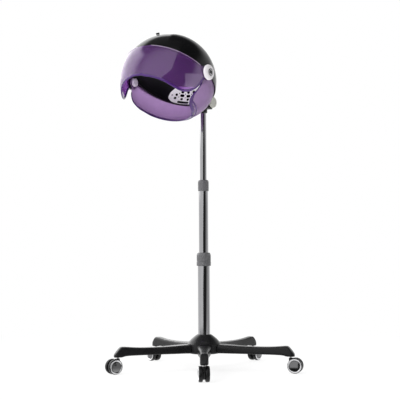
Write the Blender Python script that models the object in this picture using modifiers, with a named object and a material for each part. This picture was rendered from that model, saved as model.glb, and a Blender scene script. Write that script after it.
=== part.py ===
"""Hood hair dryer on a five-star rolling stand.

Metres, +Z up. The origin is on the floor, under the column's axis. The hood
faces -Y and its side pivots lie along X.
"""

import math

import bmesh
import bpy
from mathutils import Matrix, Vector

# ---------------------------------------------------------------- shared dimensions
GAP = 0.0003  # clearance between fitted pieces
FIT = 0.0004  # radial clearance of the hub and collars round the tubes
BOLT_HOLE_R = 0.0044
# column tubes: outer radii and (bottom, top) heights
LOWER_R, MIDDLE_R, UPPER_R = 0.0210, 0.0165, 0.0115
LOWER_Z = (0.066, 0.400)
MIDDLE_Z = (0.300, 0.650)
UPPER_Z = (0.550, 0.9248)
COLLAR_LOW = (0.364, 0.4105)
COLLAR_UP = (0.628, 0.667)
# the hood is a sphere whose side pivots lie above its centre
TILT = Vector((0, 0, 0.940))
HOOD = Vector((0.0, -0.1924, 0.9918))
PIVOT = HOOD + Vector((0, 0, 0.0142))
DOME_R = 0.1625
FAN_TILT = 32.0  # fan and bowl axis, degrees from up towards the back

# ---------------------------------------------------------------- scene
for old in list(bpy.data.objects):
    bpy.data.objects.remove(old, do_unlink=True)

PARTS = bpy.data.collections.new("hood_hair_dryer")
CUTTERS = bpy.data.collections.new("cutters")
bpy.context.scene.collection.children.link(PARTS)
bpy.context.scene.collection.children.link(CUTTERS)


# ---------------------------------------------------------------- materials
def material(name, colour, rough, metal=0.0, alpha=1.0, through=0.0):
    mat = bpy.data.materials.new(name)
    mat.use_nodes = True
    inputs = mat.node_tree.nodes["Principled BSDF"].inputs
    inputs["Base Color"].default_value = (*colour, 1)
    inputs["Roughness"].default_value = rough
    inputs["Metallic"].default_value = metal
    inputs["Alpha"].default_value = alpha
    inputs["Transmission Weight"].default_value = through
    mat.diffuse_color = (*colour, alpha)
    return mat


BASE = material("base_plastic", colour=(0.030, 0.030, 0.034), rough=0.42)
CHROME = material("column_chrome", colour=(0.55, 0.56, 0.58), rough=0.18, metal=1.0)
COLLAR = material("collar_grey", colour=(0.10, 0.10, 0.11), rough=0.35)
BLACK = material("black_gloss", colour=(0.012, 0.012, 0.013), rough=0.08)
BOWL = material("bowl_black", colour=(0.010, 0.010, 0.011), rough=0.35)
PURPLE = material(
    "purple_clear", colour=(0.28, 0.12, 0.48), rough=0.08, alpha=0.6, through=0.5
)
WHITE = material("white_gloss", colour=(0.86, 0.86, 0.85), rough=0.15)
GREY = material("grille_grey", colour=(0.62, 0.62, 0.62), rough=0.35)
KNOB = material("knob_grey", colour=(0.34, 0.35, 0.31), rough=0.30)
STEEL = material("steel", colour=(0.60, 0.60, 0.61), rough=0.30, metal=1.0)
TREAD = material("caster_wheel", colour=(0.018, 0.018, 0.020), rough=0.45)
MICA = material("mica", colour=(0.55, 0.47, 0.33), rough=0.60)
WIRE = material("heater_wire", colour=(0.30, 0.27, 0.25), rough=0.35, metal=1.0)
FAN = material("fan_plastic", colour=(0.22, 0.22, 0.23), rough=0.45)


# ---------------------------------------------------------------- frames
def move(x=0.0, y=0.0, z=0.0):
    return Matrix.Translation((x, y, z))


def turn(axis, degrees):
    return Matrix.Rotation(math.radians(degrees), 4, axis)


WORLD = Matrix()
# local X, Y, Z of a side outline become Y, Z, X
SIDE = Matrix(((0, 0, 1, 0), (1, 0, 0, 0), (0, 1, 0, 0), (0, 0, 0, 1)))
# local X, Y, Z of an upright outline become X, Z, -Y
UPRIGHT = Matrix(((1, 0, 0, 0), (0, 0, -1, 0), (0, 1, 0, 0), (0, 0, 0, 1)))
SIDE_AT_PIVOT = move(*PIVOT) @ SIDE
# local Z points along +X or -X, by side
AT_PIVOT = {side: move(*PIVOT) @ turn("Y", side * 90) for side in (1, -1)}
AT_TILT = move(*TILT) @ turn("Y", 90)
FAN_AXIS = move(*HOOD) @ turn("X", -FAN_TILT)


def polar(radius, degrees):
    angle = math.radians(degrees)
    return radius * math.cos(angle), radius * math.sin(angle)


def ray(angle, length):
    """A side outline's point at this angle about the pivots, from up towards the front."""
    return (-length * math.sin(math.radians(angle)), length * math.cos(math.radians(angle)))


def arc(start, end, radius, count):
    return [ray(start + (end - start) * i / count, radius) for i in range(count + 1)]


# ---------------------------------------------------------------- tools
def hang(obj, parent):
    obj.parent = parent
    obj.matrix_parent_inverse = Matrix.Translation(Vector(parent["at"])).inverted()


def joint(name, location, parent=None):
    """An empty that marks a joint. Its "at" property keeps its world position."""
    obj = bpy.data.objects.new(name, None)
    obj.empty_display_size = 0.02
    obj.location = location
    PARTS.objects.link(obj)
    obj["at"] = list(location)
    if parent:
        hang(obj, parent)
    return obj


def place(name, mesh, matrix=WORLD, mat=None, parent=None):
    """Makes an object of a mesh. One without a material is a hidden boolean helper."""
    obj = bpy.data.objects.new(name, mesh)
    obj.matrix_world = matrix
    if mat is None:
        CUTTERS.objects.link(obj)
        obj.hide_render = True
        obj.display_type = "WIRE"
    else:
        PARTS.objects.link(obj)
        if not mesh.materials:
            mesh.materials.append(mat)
    if parent:
        hang(obj, parent)
    return obj


def finish(shape, name):
    """Turns a bmesh into a mesh."""
    mesh = bpy.data.meshes.new(name)
    shape.to_mesh(mesh)
    shape.free()
    return mesh


def closed_loop(name, profile, ring=True):
    """A mesh of edges through points (radius, height); a ring is closed."""
    count = len(profile)
    edges = [(i, i + 1) for i in range(count - 1)] + ([(count - 1, 0)] if ring else [])
    mesh = bpy.data.meshes.new(name)
    mesh.from_pydata([(radius, 0, z) for radius, z in profile], edges, [])
    return mesh


def add_screw(obj, steps):
    screw = obj.modifiers.new("turn", "SCREW")
    screw.axis = "Z"
    screw.angle = 2 * math.pi
    screw.steps = screw.render_steps = steps
    screw.use_merge_vertices = True
    screw.merge_threshold = 1e-5
    screw.use_smooth_shade = True


def lathe(name, profile, mat, steps, matrix=WORLD, parent=None, ring=True):
    """Turns a profile, points (radius, height), about local Z."""
    obj = place(name, closed_loop(name, profile, ring), matrix, mat, parent)
    add_screw(obj, steps)
    return obj


def sleeve_profile(outer, inner, low, high):
    return [(outer, high), (outer, low), (inner, low), (inner, high)]


def add_box(shape, size, matrix):
    verts = bmesh.ops.create_cube(shape, size=1.0)["verts"]
    bmesh.ops.scale(shape, vec=Vector(size), verts=verts)
    bmesh.ops.transform(shape, matrix=matrix, verts=verts)


def box(name, size, centre, matrix=WORLD, mat=None, parent=None):
    shape = bmesh.new()
    add_box(shape, size, move(*centre))
    return place(name, finish(shape, name), matrix, mat, parent)


def add_cylinder(shape, radius, span, sides, matrix=WORLD):
    low, high = span
    verts = bmesh.ops.create_cone(
        shape, cap_ends=True, segments=sides, radius1=radius, radius2=radius, depth=high - low
    )["verts"]
    bmesh.ops.transform(shape, matrix=matrix @ move(z=(low + high) / 2), verts=verts)


def cylinder(name, radius, span, sides, matrix=WORLD, mat=None, parent=None):
    """A cylinder about local Z; span is its (low, high) height."""
    shape = bmesh.new()
    add_cylinder(shape, radius, span, sides)
    return place(name, finish(shape, name), matrix, mat, parent)


def ball(name, radius):
    """A helper sphere at the hood's centre, with its poles on the X axis like the pivots."""
    shape = bmesh.new()
    bmesh.ops.create_uvsphere(shape, u_segments=32, v_segments=16, radius=radius)
    bmesh.ops.rotate(
        shape, verts=shape.verts, cent=(0, 0, 0), matrix=Matrix.Rotation(math.pi / 2, 3, "Y")
    )
    return place(name, finish(shape, name), move(*HOOD))


def meshed(name, curve, matrix, mat=None, parent=None):
    """The evaluated mesh of a curve, with its caps welded on."""
    source = bpy.data.objects.new(name + "_curve", curve)
    CUTTERS.objects.link(source)
    bpy.context.view_layer.update()
    evaluated = source.evaluated_get(bpy.context.evaluated_depsgraph_get())
    mesh = bpy.data.meshes.new_from_object(evaluated)
    mesh.name = name
    bpy.data.objects.remove(source, do_unlink=True)
    shape = bmesh.new()
    shape.from_mesh(mesh)
    bmesh.ops.remove_doubles(shape, verts=shape.verts, dist=1e-6)
    bmesh.ops.recalc_face_normals(shape, faces=shape.faces)
    shape.to_mesh(mesh)
    shape.free()
    return place(name, mesh, matrix, mat, parent)


def outline(name, points, half, matrix, mat=None, parent=None):
    """A flat outline in local XY, extruded by half to both sides."""
    curve = bpy.data.curves.new(name, "CURVE")
    curve.dimensions = "2D"
    curve.fill_mode = "BOTH"
    curve.extrude = half
    spline = curve.splines.new("POLY")
    spline.points.add(len(points) - 1)
    for point, (x, y) in zip(spline.points, points):
        point.co = (x, y, 0, 1)
    spline.use_cyclic_u = True
    return meshed(name, curve, matrix, mat, parent)


def round_edges(obj, width, segments=2):
    bevel = obj.modifiers.new("round", "BEVEL")
    bevel.width = width
    bevel.segments = segments
    bevel.limit_method = "ANGLE"
    bevel.angle_limit = math.radians(35)
    return obj


def boolean(obj, other, operation):
    modifier = obj.modifiers.new(operation.lower(), "BOOLEAN")
    modifier.operation = operation
    modifier.solver = "EXACT"
    modifier.object = other


def cut(obj, other):
    boolean(obj, other, "DIFFERENCE")


def join(obj, other):
    boolean(obj, other, "UNION")


def keep_inside(obj, other):
    boolean(obj, other, "INTERSECT")


# ---------------------------------------------------------------- joint axes
MIDDLE_AXIS = joint("axis_height_lower", (0, 0, COLLAR_LOW[1]))
UPPER_AXIS = joint("axis_height_upper", (0, 0, COLLAR_UP[1]), MIDDLE_AXIS)
HEAD_AXIS = joint("axis_head_swivel", (0, 0, UPPER_Z[1]), UPPER_AXIS)
TILT_AXIS = joint("axis_hood_tilt", TILT, HEAD_AXIS)
VISOR_AXIS = joint("axis_visor", PIVOT, TILT_AXIS)

# ---------------------------------------------------------------- base
LEG_ANGLES = (-53, 19, 91, 163, 235)  # degrees, about +Z from +X
STEM_CIRCLE_R = 0.310  # radius of the circle of caster stems
HUB_R, HUB_Z0, HUB_Z1 = 0.059, 0.0590, 0.0915
HUB_CHAMFER = 0.004
HUB_RECESS_R, HUB_RECESS_Z = 0.0085, HUB_Z0 + 0.0030  # room for the bolt's head
HUB_FLOOR_Z = HUB_Z0 + 0.0065

COVER_SLOPE = [  # radius, height, from the top outwards
    (0.0222, 0.1240), (0.0258, 0.1226), (0.0305, 0.1194), (0.0354, 0.1156), (0.0405, 0.1114),
    (0.0455, 0.1067), (0.0500, 0.1018), (0.0540, 0.0968), (0.0572, 0.0932),
]
BOLT_PROFILE = [  # radius, height
    (0, 0.0820), (0.0040, 0.0820), (0.0040, 0.0617), (0.0075, 0.0617), (0.0075, 0.0570),
    (0, 0.0570),
]

LEG_TOP, LEG_UNDER = 0.0915, 0.0608
LEG_HALF_HEIGHT = (LEG_TOP - LEG_UNDER) / 2
LEG_TIP_R = 0.014
LEG_FLANK = [  # distance from the column's axis, half width
    (0.040, 0.0250), (0.066, 0.0247), (0.098, 0.0232), (0.130, 0.0203), (0.165, 0.0166),
    (0.205, 0.0144),
]
LEG_BEVEL = 0.0050
TENON_SIZE, TENON_AT = (0.022, 0.022, 0.016), (0.053, 0, 0.076)
SLOT_SIZE = (0.024, TENON_SIZE[1] + 2 * GAP, TENON_SIZE[2] + 2 * GAP)
SLOT_AT = (0.0536, 0, 0.076)
FOOT_R, FOOT_SPAN = 0.0132, (0.0560, 0.0800)
SOCKET_R, SOCKET_SPAN = 0.0062, (0.050, 0.0704)
TIP_SLOPE_X, TIP_SLOPE = 0.3012, 51.0  # where the tip starts to slope, and its degrees
SLOPE_CUT_SIZE = (0.100, 0.060, 0.024)


def build_hub():
    bore = LOWER_R + FIT
    profile = [
        (HUB_R, HUB_Z1), (HUB_R, HUB_Z0 + HUB_CHAMFER), (HUB_R - HUB_CHAMFER, HUB_Z0),
        (HUB_RECESS_R, HUB_Z0), (HUB_RECESS_R, HUB_RECESS_Z), (BOLT_HOLE_R, HUB_RECESS_Z),
        (BOLT_HOLE_R, HUB_FLOOR_Z), (bore, HUB_FLOOR_Z), (bore, HUB_Z1),
    ]
    return lathe("base_hub", profile, BASE, 24)


def build_hub_cover():
    under = HUB_Z1 + GAP
    lathe("hub_cover", COVER_SLOPE + [(HUB_R, under), (LOWER_R + FIT, under)], BASE, 24)


def build_leg(n, angle, hub, hub_clearance):
    heading = turn("Z", angle)
    at_stem = heading @ move(x=STEM_CIRCLE_R)
    tip = [polar(LEG_TIP_R, a) for a in range(-90, 91, 30)]
    points = (
        [LEG_FLANK[0]]
        + [(x, -y) for x, y in LEG_FLANK]
        + [(STEM_CIRCLE_R + x, y) for x, y in tip]
        + LEG_FLANK[:0:-1]
    )
    matrix = heading @ move(z=LEG_UNDER + LEG_HALF_HEIGHT)
    leg = outline(f"leg_{n}", points, LEG_HALF_HEIGHT, matrix, BASE)
    round_edges(leg, LEG_BEVEL, segments=1)
    cut(leg, hub_clearance)
    join(leg, box(f"leg_tenon_{n}", TENON_SIZE, TENON_AT, heading))
    join(leg, cylinder(f"leg_foot_{n}", FOOT_R, FOOT_SPAN, 16, at_stem))
    cut(leg, cylinder(f"leg_socket_{n}", SOCKET_R, SOCKET_SPAN, 12, at_stem))
    # the tip slopes down to the foot
    sloped = heading @ move(TIP_SLOPE_X, 0, LEG_TOP) @ turn("Y", TIP_SLOPE)
    cut(leg, box(f"leg_slope_{n}", SLOPE_CUT_SIZE, (0, 0, SLOPE_CUT_SIZE[2] / 2), sloped))
    leg.data.shade_smooth()
    leg.data.set_sharp_from_angle(angle=math.radians(40))
    cut(hub, box(f"hub_slot_{n}", SLOT_SIZE, SLOT_AT, heading))


def build_base():
    hub = build_hub()
    build_hub_cover()
    lathe("column_bolt", BOLT_PROFILE, STEEL, 12, ring=False)
    hub_clearance = cylinder("leg_end_cutter", HUB_R + GAP, (0.04, 0.11), 24)
    for n, angle in enumerate(LEG_ANGLES, 1):
        build_leg(n, angle, hub, hub_clearance)


# ---------------------------------------------------------------- casters
# in a caster's frame Z is its stem and +X the way it trails
CASTER_YAWS = (132, 22, 92, 162, 252)  # direction in which each caster trails, degrees
TRAIL = 0.016
WHEEL_R, WHEEL_W = 0.0260, 0.0140
WHEEL_INNER_Y = 0.0042
HOUSING_HALF = 0.0035
NECK_R, NECK_SPAN = 0.0060, (0.0500, 0.0522)
AXLE_R, AXLE_HALF = 0.0040, 0.0185
SPIGOT_HOLE_R, SPIGOT_HOLE_SPAN = 0.0024, (0.0437, 0.0600)
HOUSING_OUTLINE = [  # x, height
    (-0.0060, 0.0522), (-0.0060, 0.0430), (-0.0020, 0.0270), (0.0060, 0.0125),
    (0.0160, 0.0070), (0.0270, 0.0105), (0.0350, 0.0195), (0.0362, 0.0300),
    (0.0320, 0.0405), (0.0230, 0.0480), (0.0100, 0.0522),
]
STEM_PROFILE = [  # radius, height
    (0, 0.0694), (0.0045, 0.0694), (0.0055, 0.0680), (0.0055, 0.0564), (0.0032, 0.0564),
    (0.0032, 0.0525), (0.0020, 0.0525), (0.0020, 0.0440), (0, 0.0440),
]
WHEEL_PROFILE = [  # radius, distance outwards along the axle
    (0.0213, WHEEL_W), (WHEEL_R, WHEEL_W - 0.0025), (WHEEL_R, 0.0025), (0.0238, 0),
    (0.0045, 0), (0.0045, WHEEL_W - 0.0015), (0.0174, WHEEL_W - 0.0015), (0.0183, WHEEL_W),
]


def build_caster_housing(n, frame, swivel):
    housing = outline(
        f"caster_{n}_housing", HOUSING_OUTLINE, HOUSING_HALF, frame @ UPRIGHT, BASE, swivel
    )
    across = frame @ move(TRAIL, 0, WHEEL_R) @ turn("X", 90)
    join(housing, cylinder(f"caster_{n}_neck", NECK_R, NECK_SPAN, 12, frame))
    join(housing, cylinder(f"caster_{n}_axle", AXLE_R, (-AXLE_HALF, AXLE_HALF), 12, across))
    cut(housing, cylinder(f"caster_{n}_spigot", SPIGOT_HOLE_R, SPIGOT_HOLE_SPAN, 8, frame))


def build_caster(n, angle, yaw, wheel_mesh):
    stem_at = Vector((*polar(STEM_CIRCLE_R, angle), 0))
    frame = move(*stem_at) @ turn("Z", yaw)
    swivel = joint(f"axis_caster_{n}", stem_at)
    build_caster_housing(n, frame, swivel)
    lathe(f"caster_{n}_stem", STEM_PROFILE, STEEL, 10, frame, swivel, ring=False)
    for side, way in (("left", 1), ("right", -1)):
        matrix = frame @ move(TRAIL, way * WHEEL_INNER_Y, WHEEL_R) @ turn("X", -way * 90)
        wheel = place(f"caster_{n}_wheel_{side}", wheel_mesh, matrix, TREAD, swivel)
        add_screw(wheel, 16)


def build_casters():
    wheel_mesh = closed_loop("caster_wheel", WHEEL_PROFILE)
    for n, (angle, yaw) in enumerate(zip(LEG_ANGLES, CASTER_YAWS), 1):
        build_caster(n, angle, yaw, wheel_mesh)


# ---------------------------------------------------------------- column
WALL = 0.0015
TUBE_FLOOR = 0.004
BUSH_LENGTH, BUSH_DROP = 0.034, 0.001  # the drop is below the top of the outer tube
COLLAR_LIFT = 0.0005  # from a tube's top to the collar's inner shoulder


def build_lower_tube():
    low, high = LOWER_Z
    inner = LOWER_R - WALL
    profile = [
        (LOWER_R, high), (LOWER_R, low), (BOLT_HOLE_R, low), (BOLT_HOLE_R, low + TUBE_FLOOR),
        (inner, low + TUBE_FLOOR), (inner, high),
    ]
    lathe("lower_tube", profile, CHROME, 24)


def build_open_tube(name, radius, span, parent):
    profile = sleeve_profile(radius, radius - WALL, *span)
    lathe(name, profile, CHROME, 24, parent=parent)


def build_bush(name, outer_tube_r, inner_tube_r, tube_top, parent=None):
    """The bush between two tubes, just below the top of the outer one."""
    high = tube_top - BUSH_DROP
    profile = sleeve_profile(
        outer_tube_r - WALL - GAP, inner_tube_r + GAP, high - BUSH_LENGTH, high
    )
    lathe(name, profile, FAN, 24, parent=parent)


def collar_bore(outer_tube_r, inner_tube_r, low, tube_top, high):
    """The inside of a collar, from its lower end up; it narrows above the outer tube."""
    shoulder = tube_top + COLLAR_LIFT
    return [
        (outer_tube_r + FIT, low), (outer_tube_r + FIT, shoulder),
        (inner_tube_r + FIT, shoulder), (inner_tube_r + FIT, high),
    ]


def build_lower_collar():
    low, high = COLLAR_LOW
    profile = [
        (0.0200, high), (0.0228, high - 0.0030), (0.0245, high - 0.0110),
        (0.0245, low + 0.0170), (0.0252, low + 0.0155), (0.0252, low + 0.0020), (0.0242, low),
    ] + collar_bore(LOWER_R, MIDDLE_R, low, LOWER_Z[1], high)
    lathe("lower_collar", profile, COLLAR, 24)


def build_upper_collar():
    low, high = COLLAR_UP
    profile = [
        (0.0150, high), (0.0180, high - 0.0030), (0.0190, high - 0.0080),
        (0.0190, low + 0.0020), (0.0182, low),
    ] + collar_bore(MIDDLE_R, UPPER_R, low, MIDDLE_Z[1], high)
    lathe("upper_collar", profile, COLLAR, 24, parent=MIDDLE_AXIS)


def build_column():
    build_lower_tube()
    build_open_tube("middle_tube", MIDDLE_R, MIDDLE_Z, MIDDLE_AXIS)
    build_open_tube("upper_tube", UPPER_R, UPPER_Z, UPPER_AXIS)
    build_bush("lower_bush", LOWER_R, MIDDLE_R, LOWER_Z[1])
    build_bush("upper_bush", MIDDLE_R, UPPER_R, MIDDLE_Z[1], MIDDLE_AXIS)
    build_lower_collar()
    build_upper_collar()


# ---------------------------------------------------------------- head mount
HEAD_BORE_R = UPPER_R + GAP
HEAD_PROFILE = [  # radius, height
    (0.0155, 0.9200), (0.0155, 0.9070), (0.0145, 0.9050), (HEAD_BORE_R, 0.9050),
    (HEAD_BORE_R, 0.9200),
]
YOKE_SIZE, YOKE_AT = (0.064, 0.030, 0.0115), (0, 0, 0.92275)
CHEEK_X, CHEEK_HALF, CHEEK_R = 0.0275, 0.0045, 0.0150
CHEEK_FOOT = [(-0.0140, 0.9190), (0.0140, 0.9190)]  # y, height
LUG_R, LUG_HALF = 0.0110, 0.0215
ARM_SIZE, ARM_AT = (0.030, 0.042, 0.015), (0, -0.023, 0)
PLATE_T, PLATE_TRIM_SIZE, PLATE_CORNER = 0.0040, (0.060, 0.060, 0.050), 0.008
# the knob has its threaded stud moulded in, through both cheeks and the lug
TILT_KNOB_PROFILE = [  # radius, x
    (0, 0.0490), (0.0120, 0.0490), (0.0170, 0.0482), (0.0195, 0.0465), (0.0195, 0.0405),
    (0.0180, 0.0390), (0.0110, 0.0385), (0.0110, 0.0330), (0.0040, 0.0330),
    (0.0040, -0.0340), (0, -0.0340),
]


def build_head_bracket():
    head = lathe("head_bracket", HEAD_PROFILE, BLACK, 24, parent=HEAD_AXIS)
    join(head, round_edges(box("yoke_block", YOKE_SIZE, YOKE_AT), 0.003))
    top = [polar(CHEEK_R, a) for a in range(0, 181, 30)]
    points = CHEEK_FOOT + [(y, TILT.z + z) for y, z in top]
    for side in (-1, 1):
        join(head, outline(f"cheek_{side}", points, CHEEK_HALF, move(x=side * CHEEK_X) @ SIDE))
    # the tube ends inside a shallow pocket of the block
    cut(head, cylinder("tube_bore", HEAD_BORE_R, (0.90, 0.9252), 24))
    cut(head, cylinder("tilt_bore", BOLT_HOLE_R, (-0.06, 0.06), 12, AT_TILT))


def build_hood_lug():
    """The lug between the cheeks, with an arm to a plate seated on the dome."""
    to_hood = HOOD - TILT
    slope = math.atan2(to_hood.z, -to_hood.y)  # the arm rises to the front by this
    arm_frame = move(*TILT) @ Matrix.Rotation(-slope, 4, "X")
    lug = cylinder("hood_lug", LUG_R, (-LUG_HALF, LUG_HALF), 20, AT_TILT, BLACK, TILT_AXIS)
    join(lug, box("lug_arm", ARM_SIZE, ARM_AT, arm_frame))
    plate = ball("lug_plate", DOME_R + PLATE_T)
    trim_at = (0, DOME_R - to_hood.length, 0)
    trim = box("lug_plate_edge", PLATE_TRIM_SIZE, trim_at, arm_frame)
    keep_inside(plate, round_edges(trim, PLATE_CORNER))
    join(lug, plate)
    cut(lug, ball("lug_seat", DOME_R + GAP))
    cut(lug, cylinder("lug_bore", BOLT_HOLE_R, (-0.04, 0.04), 12, AT_TILT))


def build_head_mount():
    build_head_bracket()
    build_hood_lug()
    lathe("tilt_knob", TILT_KNOB_PROFILE, KNOB, 24, AT_TILT, HEAD_AXIS, ring=False)


# ---------------------------------------------------------------- hood shells
# side outlines are points (y, z) from the pivots; -y is the front
FAR = 0.26  # beyond every shell
SHELL_HALF = 0.19
EAR_R, SHIELD_EAR_R = 0.024, 0.020  # rounding of the shells about the pivots
SCREW_BORE_R, CAP_BORE_R = 0.0045, 0.0087

DOME_T = 0.0025
DOME_FRONT, DOME_REAR = 60.0, -118.0  # edge angles about the pivots, as in ray()
VENT_R = 0.0420

VISOR_R, VISOR_T = 0.1664, 0.0020
VISOR_TOP = 56.0
VISOR_EDGE = [  # lower edge, from the front back to the pivots
    (-0.250, -0.0075), (-0.172, -0.0105), (-0.162, -0.0158), (-0.151, -0.0238),
    (-0.138, -0.0337), (-0.124, -0.0449), (-0.110, -0.0553), (-0.096, -0.0633),
    (-0.081, -0.0665), (-0.066, -0.0640), (-0.051, -0.0560), (-0.038, -0.0435),
    (-0.027, -0.0280),
]

SHIELD_R, SHIELD_T = 0.1585, 0.0022
SHIELD_TILT = 26  # degrees the shield's lower rim slopes down to the back
SHIELD_DEPTH = 0.122  # vertical half axis of the ellipse below the centre
SHIELD_DROPS = (  # distances below the hood's centre
    -0.045, -0.022, 0.0, 0.018, 0.034, 0.048, 0.060, 0.070, 0.079, 0.088,
)
SHIELD_TUCK = -113.0
SHIELD_EDGE = [  # front edge going down, then round outside the shell to the back
    (-0.014, -0.033), (-0.022, -0.050), (-0.0275, -0.063), (-0.031, -0.074),
    (-0.029, -0.086), (-0.021, -0.098), (-0.009, -0.106), (0.006, -0.113),
    (0.012, -0.200), (0.200, -0.260), (0.270, -0.180),
]


def ball_shell(name, outer, thick, points, mat, parent):
    """A spherical shell, kept only inside a side outline."""
    shell = outline(name, points, SHELL_HALF, SIDE_AT_PIVOT, mat, parent)
    keep_inside(shell, ball(name + "_outer", outer))
    cut(shell, ball(name + "_inner", outer - thick))
    return shell


def pivot_bore(name, radius):
    return cylinder(name, radius, (-0.20, 0.20), 12, AT_PIVOT[1])


def build_dome(screw_bore):
    points = (
        [ray(DOME_FRONT, EAR_R)]
        + arc(DOME_FRONT, DOME_REAR, FAR, 5)
        + arc(DOME_REAR, -268, EAR_R, 5)
    )
    dome = ball_shell("dome_shell", DOME_R, DOME_T, points, BLACK, TILT_AXIS)
    cut(dome, screw_bore)
    cut(dome, cylinder("vent_hole", VENT_R, (0.14, 0.18), 20, FAN_AXIS))


def build_visor():
    points = (
        [ray(VISOR_TOP, EAR_R), ray(VISOR_TOP, FAR)] + VISOR_EDGE + arc(146, 386, EAR_R, 8)
    )
    visor = ball_shell("front_visor", VISOR_R, VISOR_T, points, PURPLE, VISOR_AXIS)
    cut(visor, pivot_bore("cap_bore", CAP_BORE_R))


def shield_radius(drop):
    """A sphere above the hood's centre, an ellipse below it."""
    if drop < 0:
        return math.sqrt(SHIELD_R**2 - drop**2)
    return SHIELD_R * math.sqrt(1 - (drop / SHIELD_DEPTH) ** 2)


def inset(profile, depth):
    """The same curve moved inwards by depth, at right angles to it."""
    moved = []
    for i, (radius, z) in enumerate(profile):
        before, after = profile[max(i - 1, 0)], profile[min(i + 1, len(profile) - 1)]
        run, rise = after[0] - before[0], after[1] - before[1]
        length = math.hypot(run, rise)
        moved.append((radius + depth * rise / length, z - depth * run / length))
    return moved


def build_shield(screw_bore):
    profile = [(shield_radius(drop), -drop) for drop in SHIELD_DROPS]
    shield = lathe(
        "rear_shield", profile + inset(profile, SHIELD_T)[::-1], PURPLE, 40,
        move(*HOOD) @ turn("X", -SHIELD_TILT), TILT_AXIS,
    )
    points = (
        [ray(SHIELD_TUCK, FAR), ray(SHIELD_TUCK, SHIELD_EAR_R)]
        + arc(-80, 130, SHIELD_EAR_R, 7)
        + [ray(155, SHIELD_EAR_R)]
        + SHIELD_EDGE
    )
    keep_inside(shield, outline("shield_edge", points, SHELL_HALF, SIDE_AT_PIVOT))
    cut(shield, screw_bore)


def build_shells():
    screw_bore = pivot_bore("screw_bore", SCREW_BORE_R)
    build_dome(screw_bore)
    build_visor()
    build_shield(screw_bore)


# ---------------------------------------------------------------- inner bowl and grille
BOWL_R, BOWL_RIM, BOWL_TOP, BOWL_T = 0.1475, 0.0165, 0.1160, 0.0025
FLANGE_R, FLANGE_TOP = 0.1532, BOWL_RIM + 0.0030
NUT_ROOM_R, NUT_ROOM_SPAN = 0.0150, (0.1380, 0.1700)
GRILLE_T = 0.0020
GRILLE_LAP = 0.0040  # how far the grille reaches past its window
# the grille's outline: local X and Y are the fan frame's -X and height, local Z its back
GRILLE_FRAME = FAN_AXIS @ turn("X", 90) @ turn("Y", 180) @ move(z=0.135)
HOLE_ROWS = (  # height, pitch in degrees, count, radius, stretch sideways
    (0.0600, 10.0, 5, 0.0042, 1.4),
    (0.0480, 10.0, 5, 0.0042, 1.8),
    (0.0365, 10.0, 7, 0.0044, 1.0),
    (0.0242, 33.0, 2, 0.0036, 6.0),
)


def bowl_curve(depth, angles):
    """Points of the bowl's curve moved in by depth, at degrees up from the rim."""
    height = BOWL_TOP - BOWL_RIM - depth
    return [
        (
            (BOWL_R - depth) * math.cos(math.radians(a)),
            BOWL_RIM + height * math.sin(math.radians(a)),
        )
        for a in angles
    ]


def grille_outline(trim):
    half = [
        (0.0790 - trim / 2, 0.0185 + trim), (0.0920 - trim, 0.0300),
        (0.0850 - trim, 0.0500 - trim / 2), (0.0700 - trim, 0.0640 - trim),
        (0.0500 - trim / 2, 0.0730 - trim),
    ]
    return half + [(-x, y) for x, y in half[::-1]]


def build_bowl():
    """The bowl, turned about the fan's axis, with a flange at its rim."""
    profile = (
        [(0, BOWL_TOP)]
        + bowl_curve(0, (76, 62, 48, 35, 22, 10))
        + [(BOWL_R - 0.0002, FLANGE_TOP), (FLANGE_R, FLANGE_TOP), (FLANGE_R, BOWL_RIM)]
        + bowl_curve(BOWL_T, (0, 11, 23, 36, 49, 62, 76))
        + [(0, BOWL_TOP - BOWL_T)]
    )
    bowl = lathe("inner_bowl", profile, BOWL, 36, FAN_AXIS, TILT_AXIS, ring=False)
    for side in (-1, 1):
        cut(bowl, cylinder(f"nut_room_{side}", NUT_ROOM_R, NUT_ROOM_SPAN, 16, AT_PIVOT[side]))
    cut(bowl, outline("grille_window", grille_outline(GRILLE_LAP), 0.04, GRILLE_FRAME))


def grille_holes():
    shape = bmesh.new()
    for height, pitch, count, radius, stretch in HOLE_ROWS:
        for k in range(count):
            around = (k - (count - 1) / 2) * pitch
            spot = turn("Z", -around) @ move(z=height) @ turn("X", -90)
            spot = spot @ Matrix.Diagonal((stretch, 1, 1, 1)) @ turn("Z", 22.5)
            add_cylinder(shape, radius, (0.100, 0.160), 8, spot)
    return place("grille_hole_cutter", finish(shape, "grille_holes"), FAN_AXIS)


def build_grille():
    """A strip inside the bowl's wall, at the back, above the flange."""
    angles = (0, 11, 23, 36)
    outer = bowl_curve(BOWL_T + GAP, angles[::-1])
    inner = bowl_curve(BOWL_T + GAP + GRILLE_T, angles)
    grille = lathe("air_grille", outer + inner, GREY, 36, FAN_AXIS, TILT_AXIS)
    keep_inside(grille, outline("grille_edge", grille_outline(0), 0.06, GRILLE_FRAME))
    cut(grille, grille_holes())


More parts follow.
